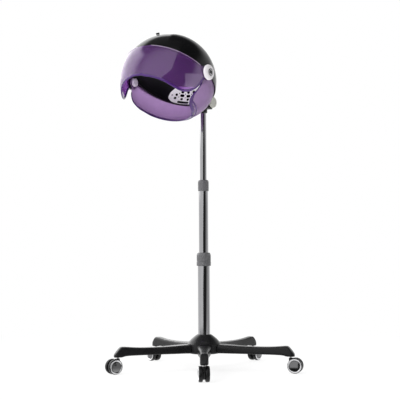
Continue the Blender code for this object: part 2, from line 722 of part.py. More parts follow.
# ---------------------------------------------------------------- pivots and stop
# profiles: radius, distance outwards from the hood's middle plane
CAP_PROFILE = [
    (0.0128, 0.1783), (0.0155, 0.1779), (0.0205, 0.1764), (0.0242, 0.1738), (0.0258, 0.1708),
    (0.0258, 0.1675), (0.0248, 0.1667), (0.0080, 0.1667), (0.0080, 0.1628), (0.0045, 0.1628),
    (0.0045, 0.1750), (0.0119, 0.1750), (0.0119, 0.1781),
]
SCREW_PROFILE = [
    (0, 0.1797), (0.0070, 0.1794), (0.0105, 0.1784), (0.0114, 0.1774), (0.0114, 0.1754),
    (0.0040, 0.1754), (0.0040, 0.1478), (0, 0.1478),
]
NUT_PROFILE = [
    (0.0060, 0.1535), (0.0060, 0.1526), (0.0114, 0.1526), (0.0122, 0.1514), (0.0122, 0.1481),
    (0.0112, 0.1471), (0.0044, 0.1471), (0.0044, 0.1535),
]
STOP_SIZE = (0.0120, 0.0060, 0.0060)
STOP_ANGLE = 20  # degrees from up towards the front


def build_pivot(label, side):
    frame = AT_PIVOT[side]
    lathe(f"pivot_cap_{label}", CAP_PROFILE, WHITE, 16, frame, TILT_AXIS)
    lathe(f"pivot_screw_{label}", SCREW_PROFILE, BLACK, 16, frame, TILT_AXIS, ring=False)
    lathe(f"pivot_nut_{label}", NUT_PROFILE, KNOB, 16, frame, TILT_AXIS)


def build_visor_stop():
    centre = (0, 0, DOME_R + GAP + STOP_SIZE[2] / 2)
    frame = move(*HOOD) @ turn("X", STOP_ANGLE)
    stop = box("visor_stop", STOP_SIZE, centre, frame, BLACK, TILT_AXIS)
    round_edges(stop, 0.0012, segments=1)


# ---------------------------------------------------------------- air intake
# profiles here and below: radius, height along the fan's axis from the hood's centre
INTAKE_PROFILE = [
    (0, DOME_R - 0.0004), (0.0200, 0.16085), (0.0415, 0.15670), (0.0415, 0.15420),
    (0.0200, 0.15835), (0, DOME_R - 0.0029),
]
SLOTTED_R = 0.036  # the slots end on this circle
INTAKE_SLOT_PITCH, INTAKE_SLOT_WIDTH = 0.0125, 0.0050


def build_intake():
    intake = lathe("intake_grille", INTAKE_PROFILE, BLACK, 20, FAN_AXIS, TILT_AXIS, ring=False)
    shape = bmesh.new()
    for k in range(-2, 3):
        offset = k * INTAKE_SLOT_PITCH
        length = 2 * math.sqrt(SLOTTED_R**2 - offset**2)
        add_box(shape, (length, INTAKE_SLOT_WIDTH, 0.05), move(0, offset, 0.155))
    cut(intake, place("intake_slot_cutter", finish(shape, "intake_slots"), FAN_AXIS))


# ---------------------------------------------------------------- fan and heater
FAN_HOUSING = sleeve_profile(outer=0.0470, inner=0.0440, low=0.1135, high=0.1490)
STRUT_SIZE, STRUT_Z = (0.0455, 0.0080, 0.0022), 0.1478
MOUNT_R, MOUNT_SPAN = 0.0130, (0.1466, 0.1492)
MOTOR_PROFILE = [
    (0, 0.1462), (0.0165, 0.1462), (0.0175, 0.1450), (0.0175, 0.1305), (0.0165, 0.1293),
    (0.0018, 0.1293), (0.0018, 0.1200), (0, 0.1200),
]
IMPELLER_PROFILE = [
    (0.0110, 0.1280), (0.0130, 0.1265), (0.0130, 0.1188), (0.0110, 0.1180), (0.0022, 0.1180),
    (0.0022, 0.1280),
]
BLADE_COUNT, BLADE_PITCH = 7, 38  # the pitch is in degrees
BLADE_SIZE, BLADE_AT = (0.0285, 0.0100, 0.0014), (0.0262, 0, 0.1231)
HEATER_RING = sleeve_profile(outer=0.0520, inner=0.0500, low=0.1140, high=0.1200)
CARD_SIZE, CARD_AT = (0.0115, 0.0012, 0.0220), (0.05625, 0, 0.1250)
WIRE_R, COIL_R = 0.0009, 0.0640
COIL_LOW, COIL_HIGH = 0.1165, 0.1335
COIL_WAVES = 20


def build_fan_housing():
    housing = lathe("fan_housing", FAN_HOUSING, FAN, 24, FAN_AXIS, TILT_AXIS)
    for k in range(3):
        frame = FAN_AXIS @ turn("Z", 120 * k + 30)
        join(housing, box(f"fan_strut_{k}", STRUT_SIZE, (STRUT_SIZE[0] / 2, 0, STRUT_Z), frame))
    join(housing, cylinder("fan_mount_disc", MOUNT_R, MOUNT_SPAN, 16, FAN_AXIS))


def build_impeller():
    impeller = lathe("impeller", IMPELLER_PROFILE, FAN, 20, FAN_AXIS, TILT_AXIS)
    shape = bmesh.new()
    for k in range(BLADE_COUNT):
        frame = turn("Z", 360 * k / BLADE_COUNT) @ move(*BLADE_AT) @ turn("X", BLADE_PITCH)
        add_box(shape, BLADE_SIZE, frame)
    join(impeller, place("blade_set", finish(shape, "impeller_blades"), FAN_AXIS))


def build_heater_frame():
    """A ring with cards standing round it."""
    ring = lathe("heater_frame", HEATER_RING, MICA, 24, FAN_AXIS, TILT_AXIS)
    for k in range(6):
        join(ring, box(f"heater_card_{k}", CARD_SIZE, CARD_AT, FAN_AXIS @ turn("Z", 60 * k)))


def build_heater_coil():
    """A wire that zigzags up and down round the frame, open by half a wave."""
    curve = bpy.data.curves.new("heater_coil", "CURVE")
    curve.dimensions = "3D"
    curve.bevel_depth = WIRE_R
    curve.bevel_resolution = 1
    curve.use_fill_caps = True
    spline = curve.splines.new("POLY")
    spline.points.add(2 * COIL_WAVES - 2)
    for k, point in enumerate(spline.points):
        x, y = polar(COIL_R, 180 * k / COIL_WAVES)
        point.co = (x, y, COIL_LOW if k % 2 else COIL_HIGH, 1)
    meshed("heater_coil", curve, FAN_AXIS, WIRE, TILT_AXIS)


# ---------------------------------------------------------------- controls
CONTROL_UP = 15.0  # degrees the panel faces above level
PANEL = DOME_R + 0.0180  # the panel's face, from the hood's centre
# local Z points out of the back of the dome, local Y up along it
PANEL_FRAME = move(*HOOD) @ turn("Z", 180) @ turn("X", 90 - CONTROL_UP)
PANEL_SIZE, PANEL_ROOM = (0.092, 0.060, 0.036), (0.087, 0.055, 0.040)
PANEL_T = 0.0025
TIMER_X, ROCKER_X = -0.020, 0.026
TIMER_BORE_R = 0.0046
ROCKER_HOLE_SIZE, ROCKER_HALF = (0.0150, 0.0212, 0.03), 0.0068
INLET_Z = PANEL - 0.0125
INLET_HOLE_SIZE = (0.03, 0.0280, 0.0140)
INLET_SIZE = (0.0150, INLET_HOLE_SIZE[1] - 2 * GAP, INLET_HOLE_SIZE[2] - 2 * GAP)
INLET_RECESS_SIZE = (0.0240, 0.0230, 0.0092)
INLET_HOLE_X, INLET_X, INLET_RECESS_X = -0.0450, -0.0384, -0.0495
TIMER_PROFILE = [  # radius, height above the panel's face
    (0, 0.0145), (0.0100, 0.0145), (0.0125, 0.0130), (0.0140, 0.0030), (0.0165, 0.0012),
    (0.0165, 0.0004), (0.0040, 0.0004), (0.0040, -0.0090), (0, -0.0090),
]
ROCKER_LIFT = 0.0005
ROCKER_OUTLINE = [  # distance up the panel, height
    (-0.0096, 0.0022), (-0.0050, 0.0006), (0.0, 0.0), (0.0050, 0.0006), (0.0096, 0.0022),
    (0.0085, -0.0040), (-0.0085, -0.0040),
]


def build_panel():
    centre = (0, 0, PANEL - PANEL_SIZE[2] / 2)
    room_at = (0, 0, PANEL - PANEL_T - PANEL_ROOM[2] / 2)
    at_timer = PANEL_FRAME @ move(x=TIMER_X)
    panel = box("control_housing", PANEL_SIZE, centre, PANEL_FRAME, BLACK, TILT_AXIS)
    round_edges(panel, 0.005)
    cut(panel, box("control_room", PANEL_ROOM, room_at, PANEL_FRAME))
    cut(panel, ball("control_seat", DOME_R + GAP))
    cut(panel, cylinder("timer_bore", TIMER_BORE_R, (0.15, 0.20), 12, at_timer))
    cut(panel, box("rocker_hole", ROCKER_HOLE_SIZE, (ROCKER_X, 0, PANEL), PANEL_FRAME))
    cut(panel, box("inlet_hole", INLET_HOLE_SIZE, (INLET_HOLE_X, 0, INLET_Z), PANEL_FRAME))


def build_timer_knob():
    frame = PANEL_FRAME @ move(TIMER_X, 0, PANEL)
    lathe("timer_knob", TIMER_PROFILE, WHITE, 24, frame, TILT_AXIS, ring=False)


def build_rocker():
    frame = PANEL_FRAME @ move(ROCKER_X, 0, PANEL + ROCKER_LIFT) @ SIDE
    outline("rocker_switch", ROCKER_OUTLINE, ROCKER_HALF, frame, WHITE, TILT_AXIS)


def build_inlet():
    centre, recess_at = (INLET_X, 0, INLET_Z), (INLET_RECESS_X, 0, INLET_Z)
    inlet = box("mains_inlet", INLET_SIZE, centre, PANEL_FRAME, BLACK, TILT_AXIS)
    round_edges(inlet, 0.0008, segments=1)
    cut(inlet, box("inlet_recess", INLET_RECESS_SIZE, recess_at, PANEL_FRAME))


# ---------------------------------------------------------------- assembly
build_base()
build_casters()
build_column()
build_head_mount()
build_shells()
build_bowl()
build_grille()
build_pivot("right", 1)
build_pivot("left", -1)
build_visor_stop()
build_intake()
build_fan_housing()
lathe("fan_motor", MOTOR_PROFILE, STEEL, 20, FAN_AXIS, TILT_AXIS, ring=False)
build_impeller()
build_heater_frame()
build_heater_coil()
build_panel()
build_timer_knob()
build_rocker()
build_inlet()
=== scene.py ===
"""Looks of a salon hood hair dryer on a five-legged caster base, built round its CAD model.

The column stands on the origin along +Z, with the floor at z = 0. The hood hangs off its top
towards -Y, which is the front; +Y is the back and +X the right side. Sizes are in metres and
angles in degrees, unless a comment says otherwise.
"""

import math

import bmesh
import bpy
from mathutils import Matrix, Vector

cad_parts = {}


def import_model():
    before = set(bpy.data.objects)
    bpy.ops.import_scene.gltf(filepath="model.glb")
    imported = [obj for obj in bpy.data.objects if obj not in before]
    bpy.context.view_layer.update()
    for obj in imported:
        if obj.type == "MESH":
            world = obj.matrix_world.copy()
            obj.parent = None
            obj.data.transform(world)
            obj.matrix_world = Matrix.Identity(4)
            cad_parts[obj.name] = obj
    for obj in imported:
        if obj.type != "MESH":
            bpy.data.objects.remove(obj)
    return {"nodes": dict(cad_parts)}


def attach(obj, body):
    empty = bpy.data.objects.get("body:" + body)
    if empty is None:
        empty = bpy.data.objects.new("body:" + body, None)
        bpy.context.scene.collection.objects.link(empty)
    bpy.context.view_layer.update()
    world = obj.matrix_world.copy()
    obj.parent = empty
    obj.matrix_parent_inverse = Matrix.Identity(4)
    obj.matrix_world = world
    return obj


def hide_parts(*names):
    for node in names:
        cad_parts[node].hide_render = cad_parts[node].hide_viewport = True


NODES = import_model()["nodes"]
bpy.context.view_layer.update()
scene = bpy.context.scene
rad, sin, cos, pi = math.radians, math.sin, math.cos, math.pi
move = Matrix.Translation


def turn(degrees, axis):
    return Matrix.Rotation(rad(degrees), 4, axis)


# ------------------------------------------------------------------ dimensions, as in the CAD
FIRST_LEG, LEG_STEP = -53, 72
CASTER_YAW = (132, 22, 92, 162, 252)
STEM_R = 0.310  # column to caster stem
HUB_R, HUB_Z0, HUB_Z1, COVER_TOP = 0.059, 0.0590, 0.0915, 0.124
WHEEL_R, WHEEL_W, WHEEL_IN, TRAIL = 0.0260, 0.0140, 0.0042, 0.016
LOWER_R, MIDDLE_R, UPPER_R, WALL = 0.0210, 0.0165, 0.0115, 0.0015  # column tubes
GAP = 0.0003  # between fixed parts
SLIDE = 0.0004  # play round a tube

HOOD = Vector((0.0, -0.1924, 0.9918))  # centre of the hood's sphere
PIVOT = HOOD + Vector((0, 0, 0.0142))  # where the pivots' axis crosses the middle plane
TILT = Vector((0, 0, 0.940))  # hinge on top of the column
VISOR_R, VISOR_T = 0.1664, 0.0020
DOME_R, DOME_T = 0.1625, 0.0025
DOME_FRONT, DOME_REAR, VISOR_TOP = 60.0, -118.0, 56.0  # from straight up, positive to the front
EAR_R = 0.024  # round ears of dome and visor at the pivots
FAR = 0.26  # beyond every shell, for trimming outlines
SHIELD_R, SHIELD_T, SHIELD_TILT = 0.1585, 0.0022, 26
SHIELD_C = 0.122  # half height of the ellipse below the shield's widest place
SHIELD_START, SHIELD_END = -0.045, 0.088  # distances down the shield's axis
SHIELD_TUCK = -113.0
FAN_TILT = 32.0
BOWL_R, BOWL_RIM, BOWL_TOP, BOWL_T = 0.1475, 0.0165, 0.1160, 0.0025
PANEL = DOME_R + 0.018  # outer face of the control box
INLET_Z = PANEL - 0.0125

# Local X, Y, Z become world Y, Z, X, so that an outline can be drawn in (y, z).
SIDE = Matrix(((0, 0, 1, 0), (1, 0, 0, 0), (0, 1, 0, 0), (0, 0, 0, 1)))
SIDE_AT_PIVOT = move(PIVOT) @ SIDE
ALONG_X = {1: turn(90, "Y"), -1: turn(-90, "Y")}
TILT_AXIS = move(TILT) @ ALONG_X[1]
FAN_AXIS = move(HOOD) @ turn(-FAN_TILT, "X")
BACK_FRAME = move(HOOD) @ turn(180, "Z") @ turn(75, "X")


# ------------------------------------------------------------------ node helpers
class Graph:
    """A short way to write a node tree."""

    def __init__(self, tree):
        self.tree = tree
        tree.nodes.clear()

    def feed(self, slot, value):
        """Links or sets an input. None leaves it alone."""
        if isinstance(value, bpy.types.NodeSocket):
            self.tree.links.new(value, slot)
        elif value is not None:
            slot.default_value = value

    def add(self, kind, out=0, **values):
        """Adds a node: i0, i1 are inputs by number, lower-case keys settings, others inputs."""
        node = self.tree.nodes.new("ShaderNode" + kind)
        for key, value in values.items():
            if key[0] == "i" and key[1:].isdigit():
                self.feed(node.inputs[int(key[1:])], value)
            elif key.islower():
                setattr(node, key, value)
            else:
                self.feed(node.inputs[key.replace("_", " ")], value)
        return node.outputs[out]

    def maths(self, operation, first, second=0.0, third=0.0, clamp=False):
        return self.add("Math", operation=operation, use_clamp=clamp, i0=first, i1=second, i2=third)

    def product(self, value, *factors):
        for factor in factors:
            value = self.maths("MULTIPLY", value, factor)
        return value

    def dot(self, vector, other):
        return self.add("VectorMath", "Value", operation="DOT_PRODUCT", i0=vector, i1=other)

    def ramp(self, value, over, to=(0.0, 1.0), kind="SMOOTHSTEP"):
        """Maps the range `over` onto the range `to`, clamped."""
        return self.add("MapRange", "Result", interpolation_type=kind, clamp=True, Value=value,
                        From_Min=over[0], From_Max=over[1], To_Min=to[0], To_Max=to[1])

    def mix(self, factor, *colours):
        first, second = [c if isinstance(c, bpy.types.NodeSocket) else (*c, 1) for c in colours]
        return self.add("MixRGB", i0=factor, i1=first, i2=second)

    def noise(self, vector, scale, detail=3.0, rough=0.5, stretch=None):
        if stretch:
            vector = self.add("Mapping", Scale=stretch, Vector=vector)
        return self.add("TexNoise", Scale=scale, Detail=detail, Roughness=rough, Vector=vector)

    def bump(self, height, distance, strength=1.0, normal=None):
        return self.add("Bump", Strength=strength, Distance=distance, Height=height, Normal=normal)

    def round_edges(self, radius):
        return self.add("Bevel", samples=3, Radius=radius) if radius else None

    def output(self, surface, kind="OutputMaterial"):
        node = self.tree.nodes.new("ShaderNode" + kind)
        self.tree.links.new(surface, node.inputs["Surface"])


# ------------------------------------------------------------------ materials
BROAD = (0.3, 0.7)  # range of a noise over which a cloudy change spreads


def material(name, colour):
    mat = bpy.data.materials.new(name)
    mat.use_nodes = True
    mat.diffuse_color = (*colour, 1)
    return mat, Graph(mat.node_tree)


def shade(colour, factor, lift=0.0):
    return [min(1, c * factor + lift) for c in colour]


def plastic(name, colour, rough, vary=0.2, grain=0.0, grain_scale=900.0, spec=0.5, coat=0.0,
            wear=0.25, scratches=0.3, tint=None, edge=0.0005):
    """Moulded plastic: cloudy gloss, fine grain, hairline scratches and paler worn edges."""
    mat, graph = material(name, colour)
    at = graph.add("TexCoord", "Object")
    cloud = graph.noise(at, scale=14, detail=5, rough=0.6)
    hair = graph.noise(at, scale=60, detail=2, rough=0.7, stretch=(1.0, 14.0, 5.0))
    scratch = graph.ramp(hair, over=(0.62, 0.70))
    edges = graph.ramp(graph.add("NewGeometry", "Pointiness"), over=(0.52, 0.60))
    patches = graph.ramp(graph.noise(at, scale=45, detail=4), over=(0.42, 0.62))
    worn = graph.product(edges, patches)

    base = graph.mix(graph.ramp(cloud, over=BROAD),
                     shade(colour, 1 - vary * 0.4), shade(colour, 1 + vary * 0.4))
    if tint:
        stain = graph.noise(at, scale=30, detail=2)
        base = graph.mix(graph.ramp(stain, over=(0.4, 0.65)), base, tint)
    base = graph.mix(graph.product(worn, wear), base, shade(colour, 1.6, lift=0.03))

    gloss_range = (rough * (1 - vary), rough * (1 + vary))
    roughness = graph.ramp(cloud, over=BROAD, to=gloss_range, kind="LINEAR")
    # scratches and worn edges are rougher
    roughness = graph.maths("ADD", roughness, graph.product(scratch, 0.10 * scratches))
    roughness = graph.maths("ADD", roughness, graph.product(worn, 0.12), clamp=True)

    normal = graph.round_edges(edge)
    if grain:
        fine = graph.noise(at, scale=grain_scale, detail=2)
        normal = graph.bump(fine, distance=grain, normal=normal)
    normal = graph.bump(cloud, distance=0.00006, normal=normal)
    graph.output(graph.add("BsdfPrincipled", Base_Color=base, Roughness=roughness, Normal=normal,
                           Specular_IOR_Level=spec, Coat_Weight=coat, Coat_Roughness=0.05))
    return mat


def metal(name, colour, rough, stretch=(260, 260, 5), streak=0.12, edge=0.0004, relief=0.00003):
    """Plated or brushed metal, with fine lines along one way and faint smudges."""
    mat, graph = material(name, colour)
    at = graph.add("TexCoord", "Object")
    line = graph.noise(at, scale=1.0, detail=4, rough=0.7, stretch=stretch)
    smudge = graph.noise(at, scale=24, detail=5, rough=0.6)
    base = graph.mix(graph.ramp(line, over=(0.35, 0.65)),
                     shade(colour, 1 - streak), shade(colour, 1 + streak))
    dulled = graph.product(graph.ramp(smudge, over=(0.5, 0.75)), 0.25)
    base = graph.mix(dulled, base, shade(colour, 0.8))
    roughness = graph.ramp(smudge, over=BROAD, to=(rough * 0.8, rough * 1.3), kind="LINEAR")
    normal = graph.bump(line, distance=relief, strength=0.6, normal=graph.round_edges(edge))
    graph.output(graph.add("BsdfPrincipled", Base_Color=base, Roughness=roughness, Metallic=1.0,
                           Normal=normal))
    return mat


def clear_purple(name, tint, body, cover, shine, glance=1.0):
    """Thin tinted plastic: it lets light through, glows a little, and shines more at a slant.

    cover is the share of the body's own colour; shine and glance are the gloss seen straight on
    and edge on.
    """
    rough, deep = 0.05, 0.35  # gloss roughness; share of the tint left on a slanting path
    mat, graph = material(name, body)
    at = graph.add("TexCoord", "Object")
    wave = graph.noise(at, scale=9, detail=2, rough=0.4)
    smudge = graph.noise(at, scale=26, detail=6, rough=0.65)
    hair = graph.noise(at, scale=70, detail=2, rough=0.7, stretch=(1.0, 12.0, 3.0))
    scratch = graph.ramp(hair, over=(0.63, 0.70))
    normal = graph.bump(wave, distance=0.00020, strength=0.4)
    normal = graph.bump(smudge, distance=0.000008, strength=0.5, normal=normal)
    slant = graph.add("LayerWeight", "Facing", Blend=0.5, Normal=normal)

    through = graph.mix(graph.maths("POWER", slant, 1.6), tint, shade(tint, deep))
    glow = graph.mix(graph.ramp(smudge, over=BROAD), shade(body, 0.96), shade(body, 1.04))
    clear = graph.add("BsdfTransparent", Color=through)
    matte = graph.add("MixShader", Fac=0.55,
                      i1=graph.add("BsdfDiffuse", Color=glow, Normal=normal),
                      i2=graph.add("BsdfTranslucent", Color=glow, Normal=normal))
    inner = graph.add("MixShader", Fac=cover, i1=clear, i2=matte)

    polish = graph.ramp(smudge, over=(0.3, 0.75), to=(rough * 0.7, rough * 1.6), kind="LINEAR")
    polish = graph.maths("ADD", polish, graph.product(scratch, 0.10))
    gloss = graph.add("BsdfAnisotropic", Color=(1, 1, 1, 1), Roughness=polish, Normal=normal)
    rise = graph.maths("POWER", slant, 4.5)
    fresnel = graph.maths("MULTIPLY_ADD", rise, glance - shine, shine, clamp=True)
    graph.output(graph.add("MixShader", Fac=fresnel, i1=inner, i2=gloss))
    return mat


MATERIALS = {
    "dome": plastic("dome_black", (0.0035, 0.0035, 0.0038), rough=0.14, spec=0.18, wear=0.05,
                    scratches=0.5),
    "black": plastic("gloss_black", (0.009, 0.009, 0.010), rough=0.14, vary=0.25, spec=0.4,
                     wear=0.15),
    "bowl": plastic("bowl_satin", (0.0045, 0.0045, 0.005), rough=0.36, grain=0.00004, spec=0.22,
                    wear=0.1),
    "base": plastic("base_charcoal", (0.0065, 0.0065, 0.0070), rough=0.30, grain=0.00003,
                    grain_scale=1400, spec=0.28),
    "collar": plastic("collar_graphite", (0.078, 0.078, 0.082), rough=0.34, grain=0.00003,
                      wear=0.3),
    "grille": plastic("grille_silver", (0.76, 0.76, 0.75), rough=0.34, vary=0.15, grain=0.00003,
                      wear=0.1),
    "white": plastic("gloss_white", (0.55, 0.53, 0.55), rough=0.16, coat=0.3, wear=0.0),
    "knob": plastic("knob_warm_grey", (0.36, 0.36, 0.33), rough=0.32, grain=0.00003, wear=0.2,
                    tint=(0.34, 0.36, 0.28)),
    "nut": plastic("nut_grey", (0.66, 0.60, 0.68), rough=0.30, wear=0.2),
    "tread": plastic("tread_black", (0.006, 0.006, 0.0065), rough=0.40, grain=0.00005, spec=0.30),
    "disc": metal("disc_dark_mirror", (0.18, 0.18, 0.183), rough=0.09, stretch=(20, 20, 20),
                  streak=0.04, edge=0, relief=0.000004),
    "fan": plastic("moulded_grey", (0.20, 0.20, 0.21), rough=0.45, grain=0.00004),
    "mica": plastic("mica_board", (0.50, 0.42, 0.28), rough=0.60, vary=0.5, grain=0.00010,
                    grain_scale=300, tint=(0.62, 0.55, 0.40)),
    "ink": plastic("print_white", (0.72, 0.72, 0.72), rough=0.5, vary=0.1, wear=0.0, edge=0),
    "dark_ink": plastic("print_black", (0.02, 0.02, 0.02), rough=0.5, vary=0.1, wear=0.0, edge=0),
    "tube": metal("tube_chrome", (0.40, 0.40, 0.412), rough=0.10, streak=0.06, edge=0.0003,
                  relief=0.000003),
    "chrome": metal("bright_ring", (0.80, 0.80, 0.815), rough=0.16, stretch=(30, 30, 30),
                    streak=0.05, relief=0.000008),
    "steel": metal("zinc_steel", (0.58, 0.58, 0.59), rough=0.30, stretch=(60, 60, 60)),
    "wire": metal("resistance_wire", (0.28, 0.25, 0.23), rough=0.40, stretch=(90, 90, 90), edge=0),
    "visor": clear_purple("visor_purple", tint=(0.74, 0.42, 0.94), body=(0.19, 0.078, 0.26),
                          cover=0.33, shine=0.065),
    "shield": clear_purple("shield_purple", tint=(0.82, 0.68, 0.90), body=(0.47, 0.32, 0.54),
                           cover=0.52, shine=0.03, glance=0.35),
    "lip": clear_purple("lip_purple", tint=(0.36, 0.16, 0.60), body=(0.11, 0.035, 0.24),
                        cover=0.72, shine=0.05),
    # the crest's pale body and tint are a painted highlight: the light line along the visor's top
    # edge, paler than the visor's own purple
    "crest": clear_purple("crest_painted_highlight_purple", tint=(0.60, 0.46, 0.68), body=(0.50, 0.36, 0.58),
                          cover=0.55, shine=0.20),
    # a spare tint, on no piece
    "bead": clear_purple("bead_purple", tint=(0.12, 0.05, 0.24), body=(0.07, 0.02, 0.15),
                         cover=0.70, shine=0.05),
}


# ------------------------------------------------------------------ outlines and paths
def fillet(points, radius, count=4, closed=False, least=14):
    """Rounds the corners that turn by more than least degrees."""
    made, total = [], len(points)
    for i, point in enumerate(points):
        if not closed and i in (0, total - 1):
            made.append(tuple(point))
            continue
        corner = Vector(point)
        back = Vector(points[i - 1]) - corner
        ahead = Vector(points[(i + 1) % total]) - corner
        if 180 - math.degrees(back.angle(ahead)) < least:
            made.append(tuple(corner))
            continue
        reach = min(radius, 0.46 * back.length, 0.46 * ahead.length)
        start = corner + back.normalized() * reach
        end = corner + ahead.normalized() * reach
        for k in range(count + 1):
            t = k / count
            made.append(tuple(start * (1 - t) ** 2 + corner * 2 * t * (1 - t) + end * t**2))
    return made


def spline(points, per):
    """A smooth open chain through the points, with per steps between two of them."""
    made = []
    points = [Vector(point) for point in points]
    for i, (start, end) in enumerate(zip(points, points[1:])):
        before = points[i - 1] if i else start * 2 - end
        after = points[i + 2] if i + 2 < len(points) else end * 2 - start
        for k in range(per):
            t = k / per
            made.append(0.5 * (2 * start + (end - before) * t
                               + (2 * before - 5 * start + 4 * end - after) * t**2
                               + (3 * start - before - 3 * end + after) * t**3))
    made.append(points[-1])
    return [tuple(point) for point in made]


def thinned(points, gap):
    """The points that lie at least gap from the one kept before."""
    made = [points[0]]
    for point in points[1:]:
        if (point - made[-1]).length >= gap:
            made.append(point)
    return made


def mirrored(points):
    """The chain back again on the other side of X = 0."""
    return [Vector((-p.x, p.y, p.z)) for p in points[::-1]]


def direction(path, i):
    ahead, back = path[min(i + 1, len(path) - 1)], path[max(i - 1, 0)]
    return (Vector(ahead) - Vector(back)).normalized()


def ray(angle, length):
    """A side-view point (y, z); the angle runs from straight up towards the front."""
    return (-length * sin(rad(angle)), length * cos(rad(angle)))


def arc(start, end, radius, count):
    return [ray(start + (end - start) * i / count, radius) for i in range(count + 1)]


def slot_outline(half, radius, steps, y=0.0):
    """A slot with round ends along local X; half is the half length without the ends."""
    outline = [(half + radius * sin(pi * k / steps), -radius * cos(pi * k / steps))
               for k in range(steps + 1)]
    outline += [(-px, -py) for px, py in outline]
    return [(px, y + py) for px, py in outline]


# ------------------------------------------------------------------ mesh helpers
TOOLS = []  # bodies that only cut or join others; removed at the end


def add(name, data, mat=None, frame=None):
    """Adds an object. Without a material it is a tool."""
    obj = bpy.data.objects.new(name, data)
    scene.collection.objects.link(obj)
    obj.matrix_world = frame if frame is not None else Matrix()
    if mat:
        data.materials.clear()
        data.materials.append(MATERIALS[mat])
    else:
        obj.hide_render = True
        TOOLS.append(obj)
    return obj


def smooth(data, angle):
    data.shade_smooth()
    data.set_sharp_from_angle(angle=rad(angle))


def make(name, mesh, mat=None, frame=None, fix=True, angle=38):
    if fix:
        bmesh.ops.recalc_face_normals(mesh, faces=mesh.faces)
    data = bpy.data.meshes.new(name)
    mesh.to_mesh(data)
    mesh.free()
    smooth(data, angle)
    return add(name, data, mat, frame)


def skin(mesh, first, second):
    """Faces between two rings of points; a ring of one point makes a fan."""
    steps = max(len(first), len(second))
    for k in range(steps):
        j = (k + 1) % steps
        if len(first) == 1:
            mesh.faces.new((first[0], second[k], second[j]))
        elif len(second) == 1:
            mesh.faces.new((first[k], first[j], second[0]))
        else:
            mesh.faces.new((first[k], first[j], second[j], second[k]))


def loft(mesh, rows, caps=True):
    for first, second in zip(rows, rows[1:]):
        skin(mesh, first, second)
    if caps:
        mesh.faces.new(rows[0])
        mesh.faces.new(rows[-1][::-1])


def prism(mesh, outline, z0, z1, frame=Matrix()):
    low = [mesh.verts.new(frame @ Vector((x, y, z0))) for x, y in outline]
    high = [mesh.verts.new(frame @ Vector((x, y, z1))) for x, y in outline]
    skin(mesh, low, high)
    mesh.faces.new(low[::-1])
    mesh.faces.new(high)


def turned(name, profile, mat, steps, frame=None, ring=False, shape=None, angle=38):
    """Turns a profile of (radius, height) about local Z. shape(angle, r, z) may move a point."""
    mesh = bmesh.new()
    rings = []
    for r, z in profile:
        if r < 1e-7:
            rings.append([mesh.verts.new((0, 0, z))])
            continue
        row = []
        for k in range(steps):
            a = 2 * pi * k / steps
            rr, zz = shape(a, r, z) if shape else (r, z)
            row.append(mesh.verts.new((rr * cos(a), rr * sin(a), zz)))
        rings.append(row)
    loft(mesh, rings + rings[:1] if ring else rings, caps=False)
    return make(name, mesh, mat, frame, angle=angle)


def round_bead(name, path, radius, mat, sides=10):
    """A bead of round section along a path."""
    mesh = bmesh.new()
    rows = []
    normal = None
    for i, point in enumerate(path):
        along = direction(path, i)
        if normal is None:
            normal = along.orthogonal().normalized()
        normal = (normal - along * normal.dot(along)).normalized()
        other = along.cross(normal)
        angles = [2 * pi * k / sides for k in range(sides)]
        rows.append([mesh.verts.new(point + (normal * cos(a) + other * sin(a)) * radius)
                     for a in angles])
    loft(mesh, rows)
    return make(name, mesh, mat, angle=60)


def radial(point):
    """The way out of the hood's sphere."""
    return (point - HOOD).normalized()


def oval_bead(name, path, half_out, width_at, mat, sides=16, normal_at=radial, out=None):
    """A bead of oval section along a path on a surface, with tapered ends.

    With out given, its middle lies at that radius from the hood's centre.
    """
    mesh = bmesh.new()
    rows = []
    for i, point in enumerate(path):
        tip = min(1.0, 0.35 + 0.22 * min(i, len(path) - 1 - i))
        point = Vector(point)
        up = normal_at(point)
        wide = direction(path, i).cross(up).normalized()
        at = HOOD + up * out if out else point
        half = width_at(point)
        angles = [2 * pi * k / sides for k in range(sides)]
        rows.append([mesh.verts.new(at + up * (half_out * tip * cos(a))
                                    + wide * (half * tip * sin(a))) for a in angles])
    loft(mesh, rows)
    return make(name, mesh, mat, angle=60)


def rbox(name, size, centre, bevel, mat=None, frame=None, segments=4):
    mesh = bmesh.new()
    bmesh.ops.create_cube(mesh, size=1.0)
    bmesh.ops.scale(mesh, vec=Vector(size), verts=mesh.verts)
    bmesh.ops.translate(mesh, vec=Vector(centre), verts=mesh.verts)
    if bevel:
        bmesh.ops.bevel(mesh, geom=mesh.edges[:], offset=bevel, segments=segments, profile=0.5,
                        affect="EDGES")
    return make(name, mesh, mat, frame)


def cyl(name, radius, z0, z1, frame=None, sides=48, bevel=0.0, mat=None):
    points = [(0, z1), (radius, z1), (radius, z0), (0, z0)]
    if bevel:
        points = fillet(points, bevel, 3)
    return turned(name, points, mat, sides, frame)


def hood_ball(name, radius):
    """A ball about the hood's centre, with its poles on the X axis."""
    mesh = bmesh.new()
    bmesh.ops.create_uvsphere(mesh, u_segments=144, v_segments=72, radius=radius)
    bmesh.ops.rotate(mesh, verts=mesh.verts, cent=(0, 0, 0), matrix=Matrix.Rotation(pi / 2, 3, "Y"))
    return make(name, mesh, frame=move(HOOD))


def slab(name, points, half, mat=None, frame=None, bevel=0.0):
    """A flat outline in local XY, thick by half to both sides."""
    mesh = bmesh.new()
    prism(mesh, points, -half, half)
    bmesh.ops.recalc_face_normals(mesh, faces=mesh.faces)
    if bevel:
        edges = [e for e in mesh.edges if abs(e.verts[0].co.z - e.verts[1].co.z) < 1e-9]
        bmesh.ops.bevel(mesh, geom=edges, offset=bevel, segments=3, profile=0.5, affect="EDGES")
    return make(name, mesh, mat, frame)


